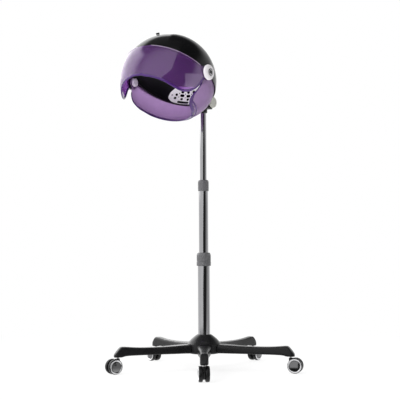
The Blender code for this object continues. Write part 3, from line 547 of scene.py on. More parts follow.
def cut(obj, *tools, operation="DIFFERENCE"):
    for tool in tools:
        mod = obj.modifiers.new("cut", "BOOLEAN")
        mod.operation, mod.solver, mod.object = operation, "EXACT", tool


def bake(obj, angle=38):
    """Puts the evaluated, cleaned mesh in place of the modifiers."""
    bpy.context.view_layer.update()
    graph = bpy.context.evaluated_depsgraph_get()
    data = bpy.data.meshes.new_from_object(obj.evaluated_get(graph))
    obj.modifiers.clear()
    mesh = bmesh.new()
    mesh.from_mesh(data)
    bmesh.ops.remove_doubles(mesh, verts=mesh.verts, dist=2e-6)
    bmesh.ops.dissolve_degenerate(mesh, edges=mesh.edges, dist=1e-6)
    bmesh.ops.triangulate(mesh, faces=[f for f in mesh.faces if len(f.verts) > 4])
    mesh.to_mesh(data)
    mesh.free()
    mat = obj.data.materials[0]
    obj.data = data
    data.materials.clear()
    data.materials.append(mat)
    for polygon in data.polygons:
        polygon.material_index = 0
    smooth(data, angle)


def true_normals(obj, normal_at):
    """Sets exact normals on faces along a known surface, so that reflections run clean."""
    data, frame = obj.data, obj.matrix_world
    back = frame.to_3x3().inverted()
    normals = [None] * len(data.loops)
    for polygon in data.polygons:
        flat = polygon.normal
        for k in polygon.loop_indices:
            spot = data.vertices[data.loops[k].vertex_index].co
            exact = back @ normal_at(frame @ spot)
            match = exact.dot(flat)
            normals[k] = exact * (1 if match > 0 else -1) if abs(match) > 0.90 else flat
    data.normals_split_custom_set([tuple(v) for v in normals])


def put(obj, body, node=None):
    """Gives a piece its moving body and hides the CAD node it replaces."""
    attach(obj, body)
    if node:
        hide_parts(node)


# ------------------------------------------------------------------ dome
def ball_shell(name, outer, thick, points, mat):
    """A spherical shell, kept within a side outline (y, z) from the pivots."""
    obj = slab(name, points, 0.19, mat, SIDE_AT_PIVOT)
    cut(obj, hood_ball(name + "_o", outer), operation="INTERSECT")
    cut(obj, hood_ball(name + "_i", outer - thick))
    return obj


def pivot_bore(radius, sides):
    return cyl("bore", radius, -0.20, 0.20, move(PIVOT) @ ALONG_X[1], sides)


screw_bore, cap_bore = pivot_bore(0.0045, 24), pivot_bore(0.0087, 40)
dome_points = (
    [ray(DOME_FRONT, EAR_R)] + arc(DOME_FRONT, DOME_REAR, FAR, 6) + [ray(DOME_REAR, EAR_R)]
    + [ray(a, EAR_R) for a in range(-128, -295, -6)]
)
dome = ball_shell("dome_skin", DOME_R, DOME_T, dome_points, "dome")
cut(dome, screw_bore, cyl("vent", 0.0420, 0.14, 0.18, FAN_AXIS, 64))
bake(dome, 30)
true_normals(dome, radial)
put(dome, "hood", "dome_shell")

# ------------------------------------------------------------------ visor
# lower edge of the visor, (y, z) from the pivots, from the front back to the ears
VISOR_EDGE = [
    (-0.250, -0.0075), (-0.172, -0.0105), (-0.162, -0.0158), (-0.151, -0.0238),
    (-0.138, -0.0337), (-0.124, -0.0449), (-0.110, -0.0553), (-0.096, -0.0633),
    (-0.081, -0.0665), (-0.066, -0.0640), (-0.051, -0.0560), (-0.038, -0.0435),
    (-0.027, -0.0280),
]
to_ear = spline([VISOR_EDGE[-1], ray(139, 0.0262), ray(146, EAR_R)], 4)
visor_low = spline(VISOR_EDGE, 7) + to_ear[1:]
visor_points = (
    [ray(VISOR_TOP - 14, EAR_R), ray(VISOR_TOP, 0.034), ray(VISOR_TOP, FAR)]
    + visor_low + [ray(a, EAR_R) for a in range(152, 398, 6)]
)
visor = ball_shell("visor_skin", VISOR_R, VISOR_T, visor_points, "visor")
cut(visor, cap_bore)
bake(visor, 30)
true_normals(visor, radial)
put(visor, "visor", "front_visor")


def on_sphere(chain, radius):
    """Where a side chain (y, z from the pivots) meets the hood's sphere, right to left."""
    gap = 0.0025  # between the points of the path
    dense = []
    for start, end in zip(chain, chain[1:]):
        for k in range(40):
            t = k / 40
            dense.append((start[0] + (end[0] - start[0]) * t, start[1] + (end[1] - start[1]) * t))
    dense.append(chain[-1])
    right = []
    for y, z in dense:
        x_squared = radius**2 - y**2 - (z + (PIVOT - HOOD).z) ** 2
        if x_squared > 0:
            right.append(PIVOT + Vector((math.sqrt(x_squared), y, z)))
    if right[0].x < right[-1].x:
        right = right[::-1]
    whole = right + mirrored(right)
    made = thinned(whole, gap)
    if (made[-1] - whole[-1]).length > gap * 0.3:
        made.append(whole[-1])
    return made


def visor_bead(name, chain, radius, half_out, half_along, mat):
    bead = oval_bead(name, on_sphere(chain, radius), half_out, lambda spot: half_along, mat,
                     out=radius)
    put(bead, "visor")
    return bead


lip = visor_bead("visor_lip", visor_low[7:], 0.1648, 0.0021, 0.0042, "lip")
# a bead along the visor's top edge, real relief with real gloss; its pale tint is a painted
# highlight line
visor_bead("visor_crest", [ray(VISOR_TOP, 0.036), ray(VISOR_TOP, FAR)], 0.1660, 0.0015, 0.0019,
           "crest")

# ------------------------------------------------------------------ rear shield
# Turned about an axis whose top leans back, then trimmed at the front. Its local -Y is the
# front, and s is the distance down the axis.
SHIELD_FRAME = move(HOOD) @ turn(-SHIELD_TILT, "X")


def shield_r(s):
    if s < 0:
        return math.sqrt(SHIELD_R**2 - s**2)
    return SHIELD_R * math.sqrt(1 - (s / SHIELD_C) ** 2)


def shield_normal(point):
    local = SHIELD_FRAME.inverted() @ point
    s = -local.z
    r = max(math.hypot(local.x, local.y), 1e-6)
    slope = (shield_r(s + 1e-4) - shield_r(s - 1e-4)) / 2e-4
    return SHIELD_FRAME.to_3x3() @ Vector((local.x / r, local.y / r, slope)).normalized()


depths = [SHIELD_START + (SHIELD_END - SHIELD_START) * i / 56 for i in range(57)]
outer = [(shield_r(s), -s) for s in depths]
inner = []
for i, (r, z) in enumerate(outer):
    before, after = outer[max(i - 1, 0)], outer[min(i + 1, len(outer) - 1)]
    step_r, step_z = after[0] - before[0], after[1] - before[1]
    step = math.hypot(step_r, step_z)
    inner.append((r + SHIELD_T * step_z / step, z - SHIELD_T * step_r / step))
rim_mid = ((outer[-1][0] + inner[-1][0]) / 2 - 0.0004, (outer[-1][1] + inner[-1][1]) / 2 - 0.0007)
shield = turned("shield_skin", outer + [rim_mid] + inner[::-1], "shield", 180, SHIELD_FRAME,
                ring=True)
# front edge of the shield, (y, z) from the pivots, from the top down
SHIELD_EDGE = [
    (-0.014, -0.033), (-0.022, -0.050), (-0.0275, -0.063), (-0.031, -0.074), (-0.029, -0.086),
    (-0.021, -0.098), (-0.009, -0.106), (0.006, -0.113), (0.012, -0.200),
]
shield_side = (
    [ray(SHIELD_TUCK, FAR), ray(SHIELD_TUCK, 0.020)]
    + [ray(a, 0.020) for a in range(-105, 156, 6)]
    + spline(SHIELD_EDGE, 6) + [(0.200, -0.260), (0.270, -0.180)]
)
cut(shield, slab("shield_trim", shield_side, 0.19, frame=SIDE_AT_PIVOT), operation="INTERSECT")
cut(shield, screw_bore)
bake(shield, 30)
true_normals(shield, shield_normal)
put(shield, "hood", "rear_shield")


def inside(point, polygon):
    x, y = point
    found = False
    for (x1, y1), (x2, y2) in zip(polygon, polygon[1:] + polygon[:1]):
        if (y1 > y) != (y2 > y) and x < (x2 - x1) * (y - y1) / (y2 - y1) + x1:
            found = not found
    return found


def shield_line(s, out, keep):
    """An arc round the shield at s, from its right front edge round the back to its left.

    out is the distance off the outer face, and keep the distance from the front edge.
    """
    points = []
    for k in range(481):
        a = rad(-90 + 360 * k / 480)
        reach = shield_r(s) + out
        point = SHIELD_FRAME @ Vector((reach * cos(a), reach * sin(a), -s))
        side = point - PIVOT
        if inside((side.y - keep, side.z), shield_side):
            points.append(point)
    return points


# a bead round the shield above its rim: real relief, with the dark lip tint as painted shade for the
# dark line there
put(round_bead("shield_bead", shield_line(0.0795, -0.0011, 0.002), 0.0027, "lip"),
    "hood")


def shield_rim():
    """The rolled edge: down the right front edge, round the back at the bottom, up the left."""
    side = []
    for y, z in spline(SHIELD_EDGE, 10):
        local = SHIELD_FRAME.inverted() @ (PIVOT + Vector((0, y, z)))
        if -local.z > SHIELD_END - 0.0025:
            break
        r = shield_r(-local.z) - SHIELD_T / 2
        if r > abs(local.y):
            side.append(PIVOT + Vector((math.sqrt(r**2 - local.y**2), y, z)))
    low = shield_line(SHIELD_END - 0.0006, -SHIELD_T / 2, 0.0030)
    return spline(thinned(side + low + mirrored(side), 0.0045), 3)


def rim_width(point):
    """Wide at the bottom of the front edges, slim where they run up to the pivots."""
    drop = min(1.0, max(0.0, (PIVOT.z - 0.058 - point.z) / 0.030))
    return 0.0020 + 0.0044 * drop * drop * (3 - 2 * drop)


put(oval_bead("shield_rim", shield_rim(), 0.0018, rim_width, "lip", 20, shield_normal),
    "hood")

# ------------------------------------------------------------------ bowl
# From here on, turned profiles are (radius, height along the axis).
BOWL_H = BOWL_TOP - BOWL_RIM


def bowl_curve(depth, start, end, count):
    """The bowl's elliptic wall, depth in from its outer face, between two angles."""
    angles = [rad(start + (end - start) * i / count) for i in range(count + 1)]
    return [((BOWL_R - depth) * cos(a), BOWL_RIM + (BOWL_H - depth) * sin(a)) for a in angles]


bowl = turned(
    "bowl_lining",
    [(0, BOWL_RIM + BOWL_H)] + bowl_curve(0, 89, 10, 26)
    + fillet([
        (BOWL_R - 0.0002, BOWL_RIM + 0.0042), (BOWL_R + 0.0003, BOWL_RIM + 0.0030),
        (0.1532, BOWL_RIM + 0.0030), (0.1532, BOWL_RIM), (BOWL_R - BOWL_T, BOWL_RIM),
        (BOWL_R - BOWL_T - 0.00004, BOWL_RIM + 0.0008),
    ], 0.0008, 3)
    + bowl_curve(BOWL_T, 1, 89, 30) + [(0, BOWL_RIM + BOWL_H - BOWL_T)],
    "bowl", 144, FAN_AXIS,
)
for side in (-1, 1):
    cut(bowl, cyl("nut_room", 0.0150, 0.1380, 0.1700, move(PIVOT) @ ALONG_X[side], 40))
# on the back wall: X to the left, Y up the fan's axis, Z outwards
BACK_WALL = FAN_AXIS @ turn(90, "X") @ turn(180, "Y") @ move((0, 0, 0.135))


def grille_outline(inset, rounding):
    half = [
        (0.0790 - inset / 2, 0.0185 + inset), (0.0920 - inset, 0.0300),
        (0.0850 - inset, 0.0500 - inset / 2), (0.0700 - inset, 0.0640 - inset),
        (0.0500 - inset / 2, 0.0730 - inset),
    ]
    return fillet(half + [(-x, y) for x, y in half[::-1]], rounding, 5, True, 8)


window = [(x, max(y, 0.0302)) for x, y in grille_outline(0.0035, 0.006)]
cut(bowl, slab("window", window, 0.04, frame=BACK_WALL))
bake(bowl, 32)
put(bowl, "hood", "inner_bowl")

# ------------------------------------------------------------------ air grille
GRILLE_OUT = BOWL_T + GAP
grille = turned("grille_panel",
                bowl_curve(GRILLE_OUT, 36, 0, 18) + bowl_curve(GRILLE_OUT + 0.0013, 0, 36, 18),
                "grille", 180, FAN_AXIS, ring=True)
cut(grille, slab("grille_trim", grille_outline(0, 0.007), 0.06, frame=BACK_WALL),
    operation="INTERSECT")
holes = bmesh.new()


def wall_spot(around, height):
    """Z points out through the wall, around degrees clockwise of the back."""
    return turn(-around, "Z") @ move((0, 0, height)) @ turn(-90, "X")


def hole(around, height, radius, sides=20):
    made = bmesh.ops.create_cone(holes, cap_ends=True, segments=sides, radius1=radius,
                                 radius2=radius, depth=0.060)
    bmesh.ops.transform(holes, matrix=wall_spot(around, height) @ move((0, 0, 0.130)),
                        verts=made["verts"])


def slot_hole(around, height, radius, length):
    outline = slot_outline(length / 2 - radius, radius, 12)
    prism(holes, outline, 0.100, 0.160, wall_spot(around, height))


for k in range(-2, 3):
    slot_hole(k * 10, 0.0595, 0.0048, 0.0120)
for k in range(-3, 4):
    if abs(k) < 3:
        slot_hole(k * 10, 0.0480, 0.0047, 0.0166)
    hole(k * 10, 0.0365, 0.0050)
for way in (-1, 1):
    hole(way * 29, 0.0480, 0.0047)
    hole(way * 35.5, 0.0430, 0.0026, 14)
for way in (-1, 1):
    slot_hole(way * 16.5, 0.0246, 0.0046, 0.0450)
for k in range(6):
    hole((k - 2.5) * 10, 0.0538, 0.0022, 14)
    hole((k - 2.5) * 10, 0.0422, 0.0022, 14)
cut(grille, make("grille_holes", holes, frame=FAN_AXIS))
bake(grille, 32)
put(grille, "hood", "air_grille")

# ------------------------------------------------------------------ pivots
CAP = fillet([
    (0.0128, 0.1784), (0.0155, 0.1780), (0.0182, 0.1773), (0.0208, 0.1762), (0.0230, 0.1747),
    (0.0247, 0.1729), (0.0258, 0.1708), (0.0258, 0.1675), (0.0248, 0.1667), (0.0080, 0.1667),
    (0.0080, 0.1628), (0.0045, 0.1628), (0.0045, 0.1750), (0.0119, 0.1750), (0.0119, 0.1781),
], 0.0009, 4, True, 8)
SCREW = fillet([
    (0, 0.1780), (0.0028, 0.1780), (0.0038, 0.1796), (0.0060, 0.1796), (0.0068, 0.1787),
    (0.0092, 0.1786), (0.0101, 0.1793), (0.0111, 0.1786), (0.0114, 0.1773), (0.0114, 0.1754),
    (0.0040, 0.1754), (0.0040, 0.1478), (0, 0.1478),
], 0.0005, 3)
SCREW_RING = [(0.0080 + 0.0010 * cos(2 * pi * k / 12), 0.1788 + 0.0006 * sin(2 * pi * k / 12))
              for k in range(12)]
NUT = [(0, 0.1466)] + fillet([
    (0.0060, 0.1466), (0.0112, 0.1470), (0.0122, 0.1482), (0.0122, 0.1490), (0.0132, 0.1494),
    (0.0154, 0.1497), (0.0160, 0.1504), (0.0158, 0.1526), (0.0044, 0.1526),
], 0.0006, 3) + [(0.0044, 0.1475), (0, 0.1475)]


def fluted(a, r, z):
    return (r * (1 + 0.030 * cos(18 * a)) if 0.0115 < r < 0.0128 else r), z


for label, side in (("right", 1), ("left", -1)):
    axis = move(PIVOT) @ ALONG_X[side]
    put(turned(f"cap_{label}", CAP, "white", 96, axis, ring=True),
        "hood", f"pivot_cap_{label}")
    put(turned(f"screw_{label}", SCREW, "black", 64, axis),
        "hood", f"pivot_screw_{label}")
    put(turned(f"screw_ring_{label}", SCREW_RING, "chrome", 64, axis, ring=True), "hood")
    put(turned(f"nut_{label}", NUT, "nut", 108, axis, shape=fluted),
        "hood", f"pivot_nut_{label}")

stop = rbox("stop_block", (0.0120, 0.0060, 0.0060), (0, 0, DOME_R + GAP + 0.0030), 0.0013,
            "black", move(HOOD) @ turn(20, "X"))
put(stop, "hood", "visor_stop")

# ------------------------------------------------------------------ air intake
intake = turned(
    "intake_cover",
    fillet([
        (0, DOME_R - 0.0004), (0.0100, DOME_R - 0.0007), (0.0200, 0.16105), (0.0310, 0.15930),
        (0.0395, 0.15745), (0.0415, 0.15650), (0.0415, 0.15420), (0.0200, 0.15835),
        (0, DOME_R - 0.0029),
    ], 0.0008, 3),
    "black", 96, FAN_AXIS,
)
SLOT_PITCH, SLOT_R, SLOTS_R = 0.0078, 0.0020, 0.0365  # SLOTS_R is the circle the slots fill
slots = bmesh.new()
for k in range(-4, 5):
    y = k * SLOT_PITCH
    half = math.sqrt(SLOTS_R**2 - y**2) - SLOT_R
    prism(slots, slot_outline(half, SLOT_R, 8, y), 0.13, 0.18)
cut(intake, make("intake_slots", slots, frame=FAN_AXIS))
bake(intake, 32)
put(intake, "hood", "intake_grille")

# ------------------------------------------------------------------ control box at the back
TIMER_X, ROCKER_X = -0.020, 0.026
ROCKER_HOLE = (0.0150, 0.0212)
timer_at = BACK_FRAME @ move((TIMER_X, 0, PANEL))
panel = rbox("control_box", (0.092, 0.060, 0.036), (0, 0, PANEL - 0.018), 0.006, "black",
             BACK_FRAME, segments=5)
cut(
    panel,
    rbox("room", (0.087, 0.055, 0.040), (0, 0, PANEL - 0.0225), 0, frame=BACK_FRAME),
    hood_ball("seat", DOME_R + GAP),
    cyl("timer_bore", 0.0046, -0.03, 0.02, timer_at, 32),
    rbox("rocker_hole", (*ROCKER_HOLE, 0.03), (ROCKER_X, 0, PANEL), 0, frame=BACK_FRAME),
    rbox("inlet_hole", (0.03, 0.0280, 0.0140), (-0.0450, 0, INLET_Z), 0, frame=BACK_FRAME),
    turned("dial_groove", [(0.0183, 0.001), (0.0187, 0.001), (0.0187, -0.0003), (0.0183, -0.0003)],
           None, 72, timer_at, ring=True),
)
bake(panel, 32)
put(panel, "hood", "control_housing")


# ------------------------------------------------------------------ timer
def grips(a, r, z):
    if 0.0100 < r < 0.0150 and 0.002 < z < 0.0140:
        return r - 0.0005 * (0.5 + 0.5 * cos(30 * a)), z
    return r, z


timer = turned(
    "timer_dial",
    fillet([
        (0, 0.0145), (0.0092, 0.0145), (0.0112, 0.0141), (0.0126, 0.0128), (0.0132, 0.0090),
        (0.0140, 0.0032), (0.0163, 0.0014), (0.0163, 0.0004), (0.0040, 0.0004),
        (0.0040, -0.0090), (0, -0.0090),
    ], 0.0007, 3),
    "white", 180, timer_at, shape=grips,
)
put(timer, "timer", "timer_knob")
put(rbox("timer_pointer", (0.0012, 0.0075, 0.0004), (0, 0.0078, 0.01455), 0.00015, "dark_ink",
         timer_at, segments=2), "timer")


def text(name, words, size, frame, mat):
    curve = bpy.data.curves.new(name, "FONT")
    curve.body, curve.size, curve.extrude = words, size, 0.00012
    curve.align_x, curve.align_y = "CENTER", "CENTER"
    curve.resolution_u = 3
    source = bpy.data.objects.new(name + "_font", curve)
    scene.collection.objects.link(source)
    bpy.context.view_layer.update()
    graph = bpy.context.evaluated_depsgraph_get()
    data = bpy.data.meshes.new_from_object(source.evaluated_get(graph))
    bpy.data.objects.remove(source, do_unlink=True)
    mesh = bmesh.new()
    mesh.from_mesh(data)
    bmesh.ops.remove_doubles(mesh, verts=mesh.verts, dist=1e-7)
    bmesh.ops.recalc_face_normals(mesh, faces=mesh.faces)
    mesh.to_mesh(data)
    mesh.free()
    return add(name, data, mat, frame)


for k in range(7):
    angle = -50 * k  # clockwise from the pointer's rest
    place = timer_at @ turn(angle, "Z") @ move((0, 0.0217, 0.0001)) @ turn(-angle, "Z")
    put(text(f"dial_number_{k}", str(10 * k), 0.0042, place, "ink"), "hood")
ticks = bmesh.new()
for k in range(31):
    made = bmesh.ops.create_cube(ticks, size=1.0)
    length = 0.0016 if k % 5 == 0 else 0.0009
    bmesh.ops.scale(ticks, vec=Vector((0.00035, length, 0.0002)), verts=made["verts"])
    bmesh.ops.transform(ticks, matrix=turn(-10 * k, "Z") @ move((0, 0.0175, 0.00008)),
                        verts=made["verts"])
put(make("dial_ticks", ticks, "ink", timer_at), "hood")

# ------------------------------------------------------------------ rocker switch
rocker_at = BACK_FRAME @ move((ROCKER_X, 0, PANEL + 0.0005))
ROCKER_TOP = [(-0.0096, 0.0022), (-0.0050, 0.0006), (0.0, 0.0), (0.0050, 0.0006), (0.0096, 0.0022)]
rocker = slab("rocker_key", spline(ROCKER_TOP, 5) + [(0.0085, -0.0040), (-0.0085, -0.0040)],
              0.0068, "white", rocker_at @ SIDE, bevel=0.0005)
put(rocker, "rocker", "rocker_switch")
put(rbox("rocker_line", (0.0006, 0.0030, 0.0003), (0, 0.0055, 0.0009), 0, "dark_ink",
         rocker_at @ turn(10, "X")), "rocker")
put(turned("rocker_ring", [(0.0013, 0.0002), (0.0018, 0.0002), (0.0018, -0.0002), (0.0013, -0.0002)],
           "dark_ink", 32, rocker_at @ turn(-10, "X") @ move((0, -0.0055, 0.0009)), ring=True),
    "rocker")
bezel = slab(
    "rocker_bezel",
    fillet([(-0.0090, -0.0122), (0.0090, -0.0122), (0.0090, 0.0122), (-0.0090, 0.0122)],
           0.0018, 4, True),
    0.0005, "black", rocker_at,
)
cut(bezel, rbox("bezel_hole", (*ROCKER_HOLE, 0.01), (0, 0, 0), 0,
                frame=BACK_FRAME @ move((ROCKER_X, 0, PANEL))))
bake(bezel, 32)
put(bezel, "hood")

# ------------------------------------------------------------------ mains inlet
inlet = rbox("power_inlet", (0.0150, 0.0274, 0.0134), (-0.0384, 0, INLET_Z), 0.0009, "black",
             BACK_FRAME)
cut(inlet, rbox("recess", (0.0240, 0.0230, 0.0092), (-0.0495, 0, INLET_Z), 0.0016,
                frame=BACK_FRAME))
bake(inlet, 32)
put(inlet, "hood", "mains_inlet")
for k in (-1, 0, 1):
    spot = (-0.0405, 0.0070 * k, INLET_Z + 0.0012 * (k == 0))
    put(rbox(f"inlet_pin_{k + 2}", (0.0072, 0.0020, 0.0044), spot, 0.0005, "steel", BACK_FRAME),
        "hood")

# ------------------------------------------------------------------ head bracket on the column
SLEEVE_R = UPPER_R + GAP
bracket = turned(
    "yoke",
    fillet([(0.0155, 0.9200), (0.0155, 0.9070), (0.0145, 0.9050), (SLEEVE_R, 0.9050),
            (SLEEVE_R, 0.9200)], 0.0010, 3, True),
    "black", 72, ring=True,
)
cut(bracket, rbox("block", (0.064, 0.030, 0.0115), (0, 0, 0.92275), 0.0032), operation="UNION")
CHEEK = [(-0.0140, 0.9190), (0.0140, 0.9190)] + [
    (0.0150 * cos(rad(a)), TILT.z + 0.0150 * sin(rad(a))) for a in range(0, 181, 6)
]
for side in (-1, 1):
    cheek = slab("cheek", CHEEK, 0.0045, None, move((side * 0.0275, 0, 0)) @ SIDE, 0.0010)
    cut(bracket, cheek, operation="UNION")
cut(bracket, cyl("tube_bore", SLEEVE_R, 0.90, 0.9252),
    cyl("tilt_bore", 0.0044, -0.06, 0.06, TILT_AXIS, 24))
bake(bracket, 34)
put(bracket, "head", "head_bracket")
GRUB = fillet([(0, 0.0148), (0.0012, 0.0148), (0.0012, 0.0162), (0.0030, 0.0162),
               (0.0030, 0.0140), (0, 0.0140)], 0.0004, 2)
put(turned("socket_screw", GRUB, "steel", 24, move((0, 0, 0.9125)) @ turn(90, "X")),
    "head")

# ------------------------------------------------------------------ hood lug
to_hood = TILT - TILT + (HOOD - TILT)
reach = to_hood.length
slope = math.degrees(math.atan2(to_hood.z, -to_hood.y))
arm_frame = move(TILT) @ turn(-slope, "X")  # local -Y points at the hood's centre
lug = cyl("lug", 0.0110, -0.0215, 0.0215, TILT_AXIS, 64, 0.0010, "black")
cut(lug, rbox("lug_arm", (0.030, 0.042, 0.015), (0, -0.023, 0), 0.0028, frame=arm_frame),
    operation="UNION")
plate = hood_ball("lug_plate", DOME_R + 0.0040)
cut(plate, rbox("plate_edge", (0.060, 0.060, 0.050), (0, -reach + DOME_R, 0), 0.010,
                frame=arm_frame, segments=5), operation="INTERSECT")
cut(lug, plate, operation="UNION")
cut(lug, hood_ball("lug_seat", DOME_R + GAP),
    cyl("lug_bore", 0.0044, -0.04, 0.04, TILT_AXIS, 24))
bake(lug, 34)
put(lug, "hood", "hood_lug")
BOLT = fillet([(0, 0.0008), (0.0012, 0.0008), (0.0012, 0.0016), (0.0030, 0.0014),
               (0.0036, 0.0004), (0.0036, -0.0006), (0, -0.0006)], 0.0004, 2)
BOLT_PLACES = ((-0.022, -0.0165), (0.022, -0.0165), (-0.022, 0.0165), (0.022, 0.0165))
for i, (x, z) in enumerate(BOLT_PLACES, 1):
    spot = arm_frame @ Vector((x, -reach + math.sqrt(DOME_R**2 - x**2 - z**2), z))
    out = radial(spot)
    facing = out.to_track_quat("Z", "Y").to_matrix().to_4x4()
    bolt_at = move(HOOD + out * (DOME_R + 0.0038)) @ facing
    put(turned(f"lug_screw_{i}", BOLT, "steel", 32, bolt_at), "hood")


# ------------------------------------------------------------------ tilt knob
def scallops(a, r, z):
    if r > 0.0150 and z > 0.038:
        return r - 0.0007 * (0.5 + 0.5 * cos(24 * a)) ** 2, z
    return r, z


knob = turned(
    "clamp_knob",
    fillet([
        (0, 0.0478), (0.0105, 0.0478), (0.0118, 0.0488), (0.0140, 0.0489), (0.0172, 0.0482),
        (0.0190, 0.0466), (0.0195, 0.0450), (0.0195, 0.0415), (0.0186, 0.0394), (0.0170, 0.0389),
        (0.0110, 0.0385), (0.0110, 0.0330), (0.0040, 0.0330), (0.0040, -0.0340), (0, -0.0340),
    ], 0.0008, 3, least=10),
    "knob", 192, TILT_AXIS, shape=scallops,
)
put(knob, "tilt_clamp", "tilt_knob")

# ------------------------------------------------------------------ column
for name, node, radius, low, high, body in (
    ("pole_lower", "lower_tube", LOWER_R, 0.066, 0.400, "base"),
    ("pole_middle", "middle_tube", MIDDLE_R, 0.300, 0.650, "middle_column"),
    ("pole_upper", "upper_tube", UPPER_R, 0.550, 0.9248, "upper_column"),
):
    wall = [(radius, high), (radius, low), (radius - WALL, low), (radius - WALL, high)]
    put(turned(name, fillet(wall, 0.0006, 3, True), "tube", 96, ring=True),
        body, node)

low, high = 0.364, 0.4105


def ribs(a, r, z):
    if r > 0.0240 and low + 0.0185 < z < high - 0.0095:
        return r - 0.0007 * max(0.0, cos(30 * a)) ** 0.7, z
    return r, z


collar = turned(
    "collar_lower",
    fillet([(0.0200, high), (0.0222, high - 0.0012), (0.0236, high - 0.0048),
            (0.0243, high - 0.0080)], 0.0015, 4)
    + [(0.0247, high - 0.0088 - (0.0194 * k / 8)) for k in range(9)]
    + fillet([
        (0.0247, low + 0.0172), (0.0247, low + 0.0166), (0.0240, low + 0.0162),
        (0.0240, low + 0.0152), (0.0252, low + 0.0148), (0.0252, low + 0.0018), (0.0242, low),
        (LOWER_R + SLIDE, low), (LOWER_R + SLIDE, 0.4005), (MIDDLE_R + SLIDE, 0.4005),
        (MIDDLE_R + SLIDE, high),
    ], 0.0005, 3),
    "collar", 240, ring=True, shape=ribs,
)
put(collar, "lower_collar", "lower_collar")
low, high = 0.628, 0.667


def grooves(a, r, z):
    if r > 0.0187 and low + 0.006 < z < high - 0.009:
        return r - 0.00028 * max(0.0, cos(16 * a)) ** 6, z
    return r, z


collar = turned(
    "collar_upper",
    fillet([(0.0150, high), (0.0168, high - 0.0010), (0.0182, high - 0.0040),
            (0.0190, high - 0.0085)], 0.0015, 4)
    + [(0.0190, high - 0.0088), (0.0190, high - 0.0094)]
    + [(0.0190, low + 0.0250 - 0.002 * k) for k in range(9)]
    + [(0.0190, low + 0.0062), (0.0190, low + 0.0056)]
    + fillet([
        (0.0190, low + 0.0052), (0.0186, low + 0.0048), (0.0186, low + 0.0040),
        (0.0190, low + 0.0036), (0.0190, low + 0.0018), (0.0182, low), (MIDDLE_R + SLIDE, low),
        (MIDDLE_R + SLIDE, 0.6505), (UPPER_R + SLIDE, 0.6505), (UPPER_R + SLIDE, high),
    ], 0.0004, 3),
    "collar", 192, ring=True, shape=grooves,
)
put(collar, "upper_collar", "upper_collar")

# ------------------------------------------------------------------ hub
cover = turned(
    "hub_dome",
    [(LOWER_R + 0.0008, COVER_TOP - 0.0002), (LOWER_R + 0.0013, COVER_TOP + 0.0001)]
    + spline([
        (0.0228, 0.1240), (0.0258, 0.1228), (0.0305, 0.1196), (0.0354, 0.1158), (0.0405, 0.1116),
        (0.0455, 0.1069), (0.0500, 0.1020), (0.0540, 0.0970), (0.0574, 0.0934),
    ], 4)
    + [(HUB_R, HUB_Z1 + 0.0010), (HUB_R - 0.0002, HUB_Z1 + 0.0005), (HUB_R - 0.0008, HUB_Z1 + GAP),
       (LOWER_R + SLIDE, HUB_Z1 + GAP), (LOWER_R + SLIDE, COVER_TOP - 0.0006)],
    "base", 120, ring=True, angle=30,
)
put(cover, "base", "hub_cover")
hub = turned(
    "hub_body",
    fillet([
        (HUB_R, HUB_Z1), (HUB_R, HUB_Z0 + 0.004), (HUB_R - 0.004, HUB_Z0), (0.0085, HUB_Z0),
        (0.0085, HUB_Z0 + 0.0030), (0.0044, HUB_Z0 + 0.0030), (0.0044, HUB_Z0 + 0.0065),
        (LOWER_R + SLIDE, HUB_Z0 + 0.0065), (LOWER_R + SLIDE, HUB_Z1),
    ], 0.0010, 3, True),
    "base", 120, ring=True,
)
put(hub, "base", "base_hub")

# ------------------------------------------------------------------ legs
LEG_STATIONS = (  # distance out, half width, top, underside
    (0.0560, 0.0250, 0.0915, 0.0604), (0.0660, 0.0247, 0.0912, 0.0606),
    (0.0820, 0.0240, 0.0905, 0.0608), (0.0980, 0.0231, 0.0897, 0.0608),
    (0.1300, 0.0203, 0.0880, 0.0608), (0.1650, 0.0166, 0.0868, 0.0608),
    (0.2050, 0.0145, 0.0865, 0.0608), (0.2450, 0.0142, 0.0877, 0.0607),
    (0.2720, 0.0142, 0.0900, 0.0604), (0.2860, 0.0142, 0.0913, 0.0592),
    (0.2940, 0.0142, 0.0916, 0.0572), (0.3000, 0.0142, 0.0909, 0.0561),
    (0.3060, 0.0140, 0.0864, 0.0560), (0.3120, 0.0137, 0.0795, 0.0560),
    (0.3170, 0.0124, 0.0734, 0.0560), (0.3210, 0.0098, 0.0684, 0.0561),
    (0.3233, 0.0064, 0.0648, 0.0566), (0.3240, 0.0040, 0.0626, 0.0576),
)


def leg_mesh(name, frame):
    """A leg of squarish oval sections along local X, drawn in towards the top."""
    mesh = bmesh.new()
    rows = []
    sides = 40
    for x, width, top, low in spline(LEG_STATIONS, 4):
        mid, half = (top + low) / 2, (top - low) / 2
        row = []
        for k in range(sides):
            a = 2 * pi * (k + 0.5) / sides
            power = 0.36 if sin(a) > 0 else 0.26
            y = width * math.copysign(abs(cos(a)) ** power, cos(a))
            z = half * math.copysign(abs(sin(a)) ** power, sin(a))
            if z > 0:
                y *= 1 - 0.10 * (z / half) ** 2
            row.append(mesh.verts.new((x, y, mid + z)))
        rows.append(row)
    loft(mesh, rows)
    return make(name, mesh, "base", frame, angle=50)


def build_leg(n, angle):
    frame = turn(angle, "Z")
    leg = leg_mesh(f"arm_{n}", frame)
    cut(leg, cyl("hub_room", HUB_R + GAP, 0.04, 0.12, sides=96))
    cut(leg, rbox("tenon", (0.022, 0.022, 0.016), (0.053, 0, 0.076), 0.001, frame=frame),
        operation="UNION")
    cut(leg, cyl("socket", 0.0062, 0.050, 0.0704, frame @ move((STEM_R, 0, 0)), 40))
    bake(leg, 42)
    put(leg, "base", f"leg_{n}")


# ------------------------------------------------------------------ casters
UPRIGHT = Matrix(((1, 0, 0, 0), (0, 0, -1, 0), (0, 1, 0, 0), (0, 0, 0, 1)))
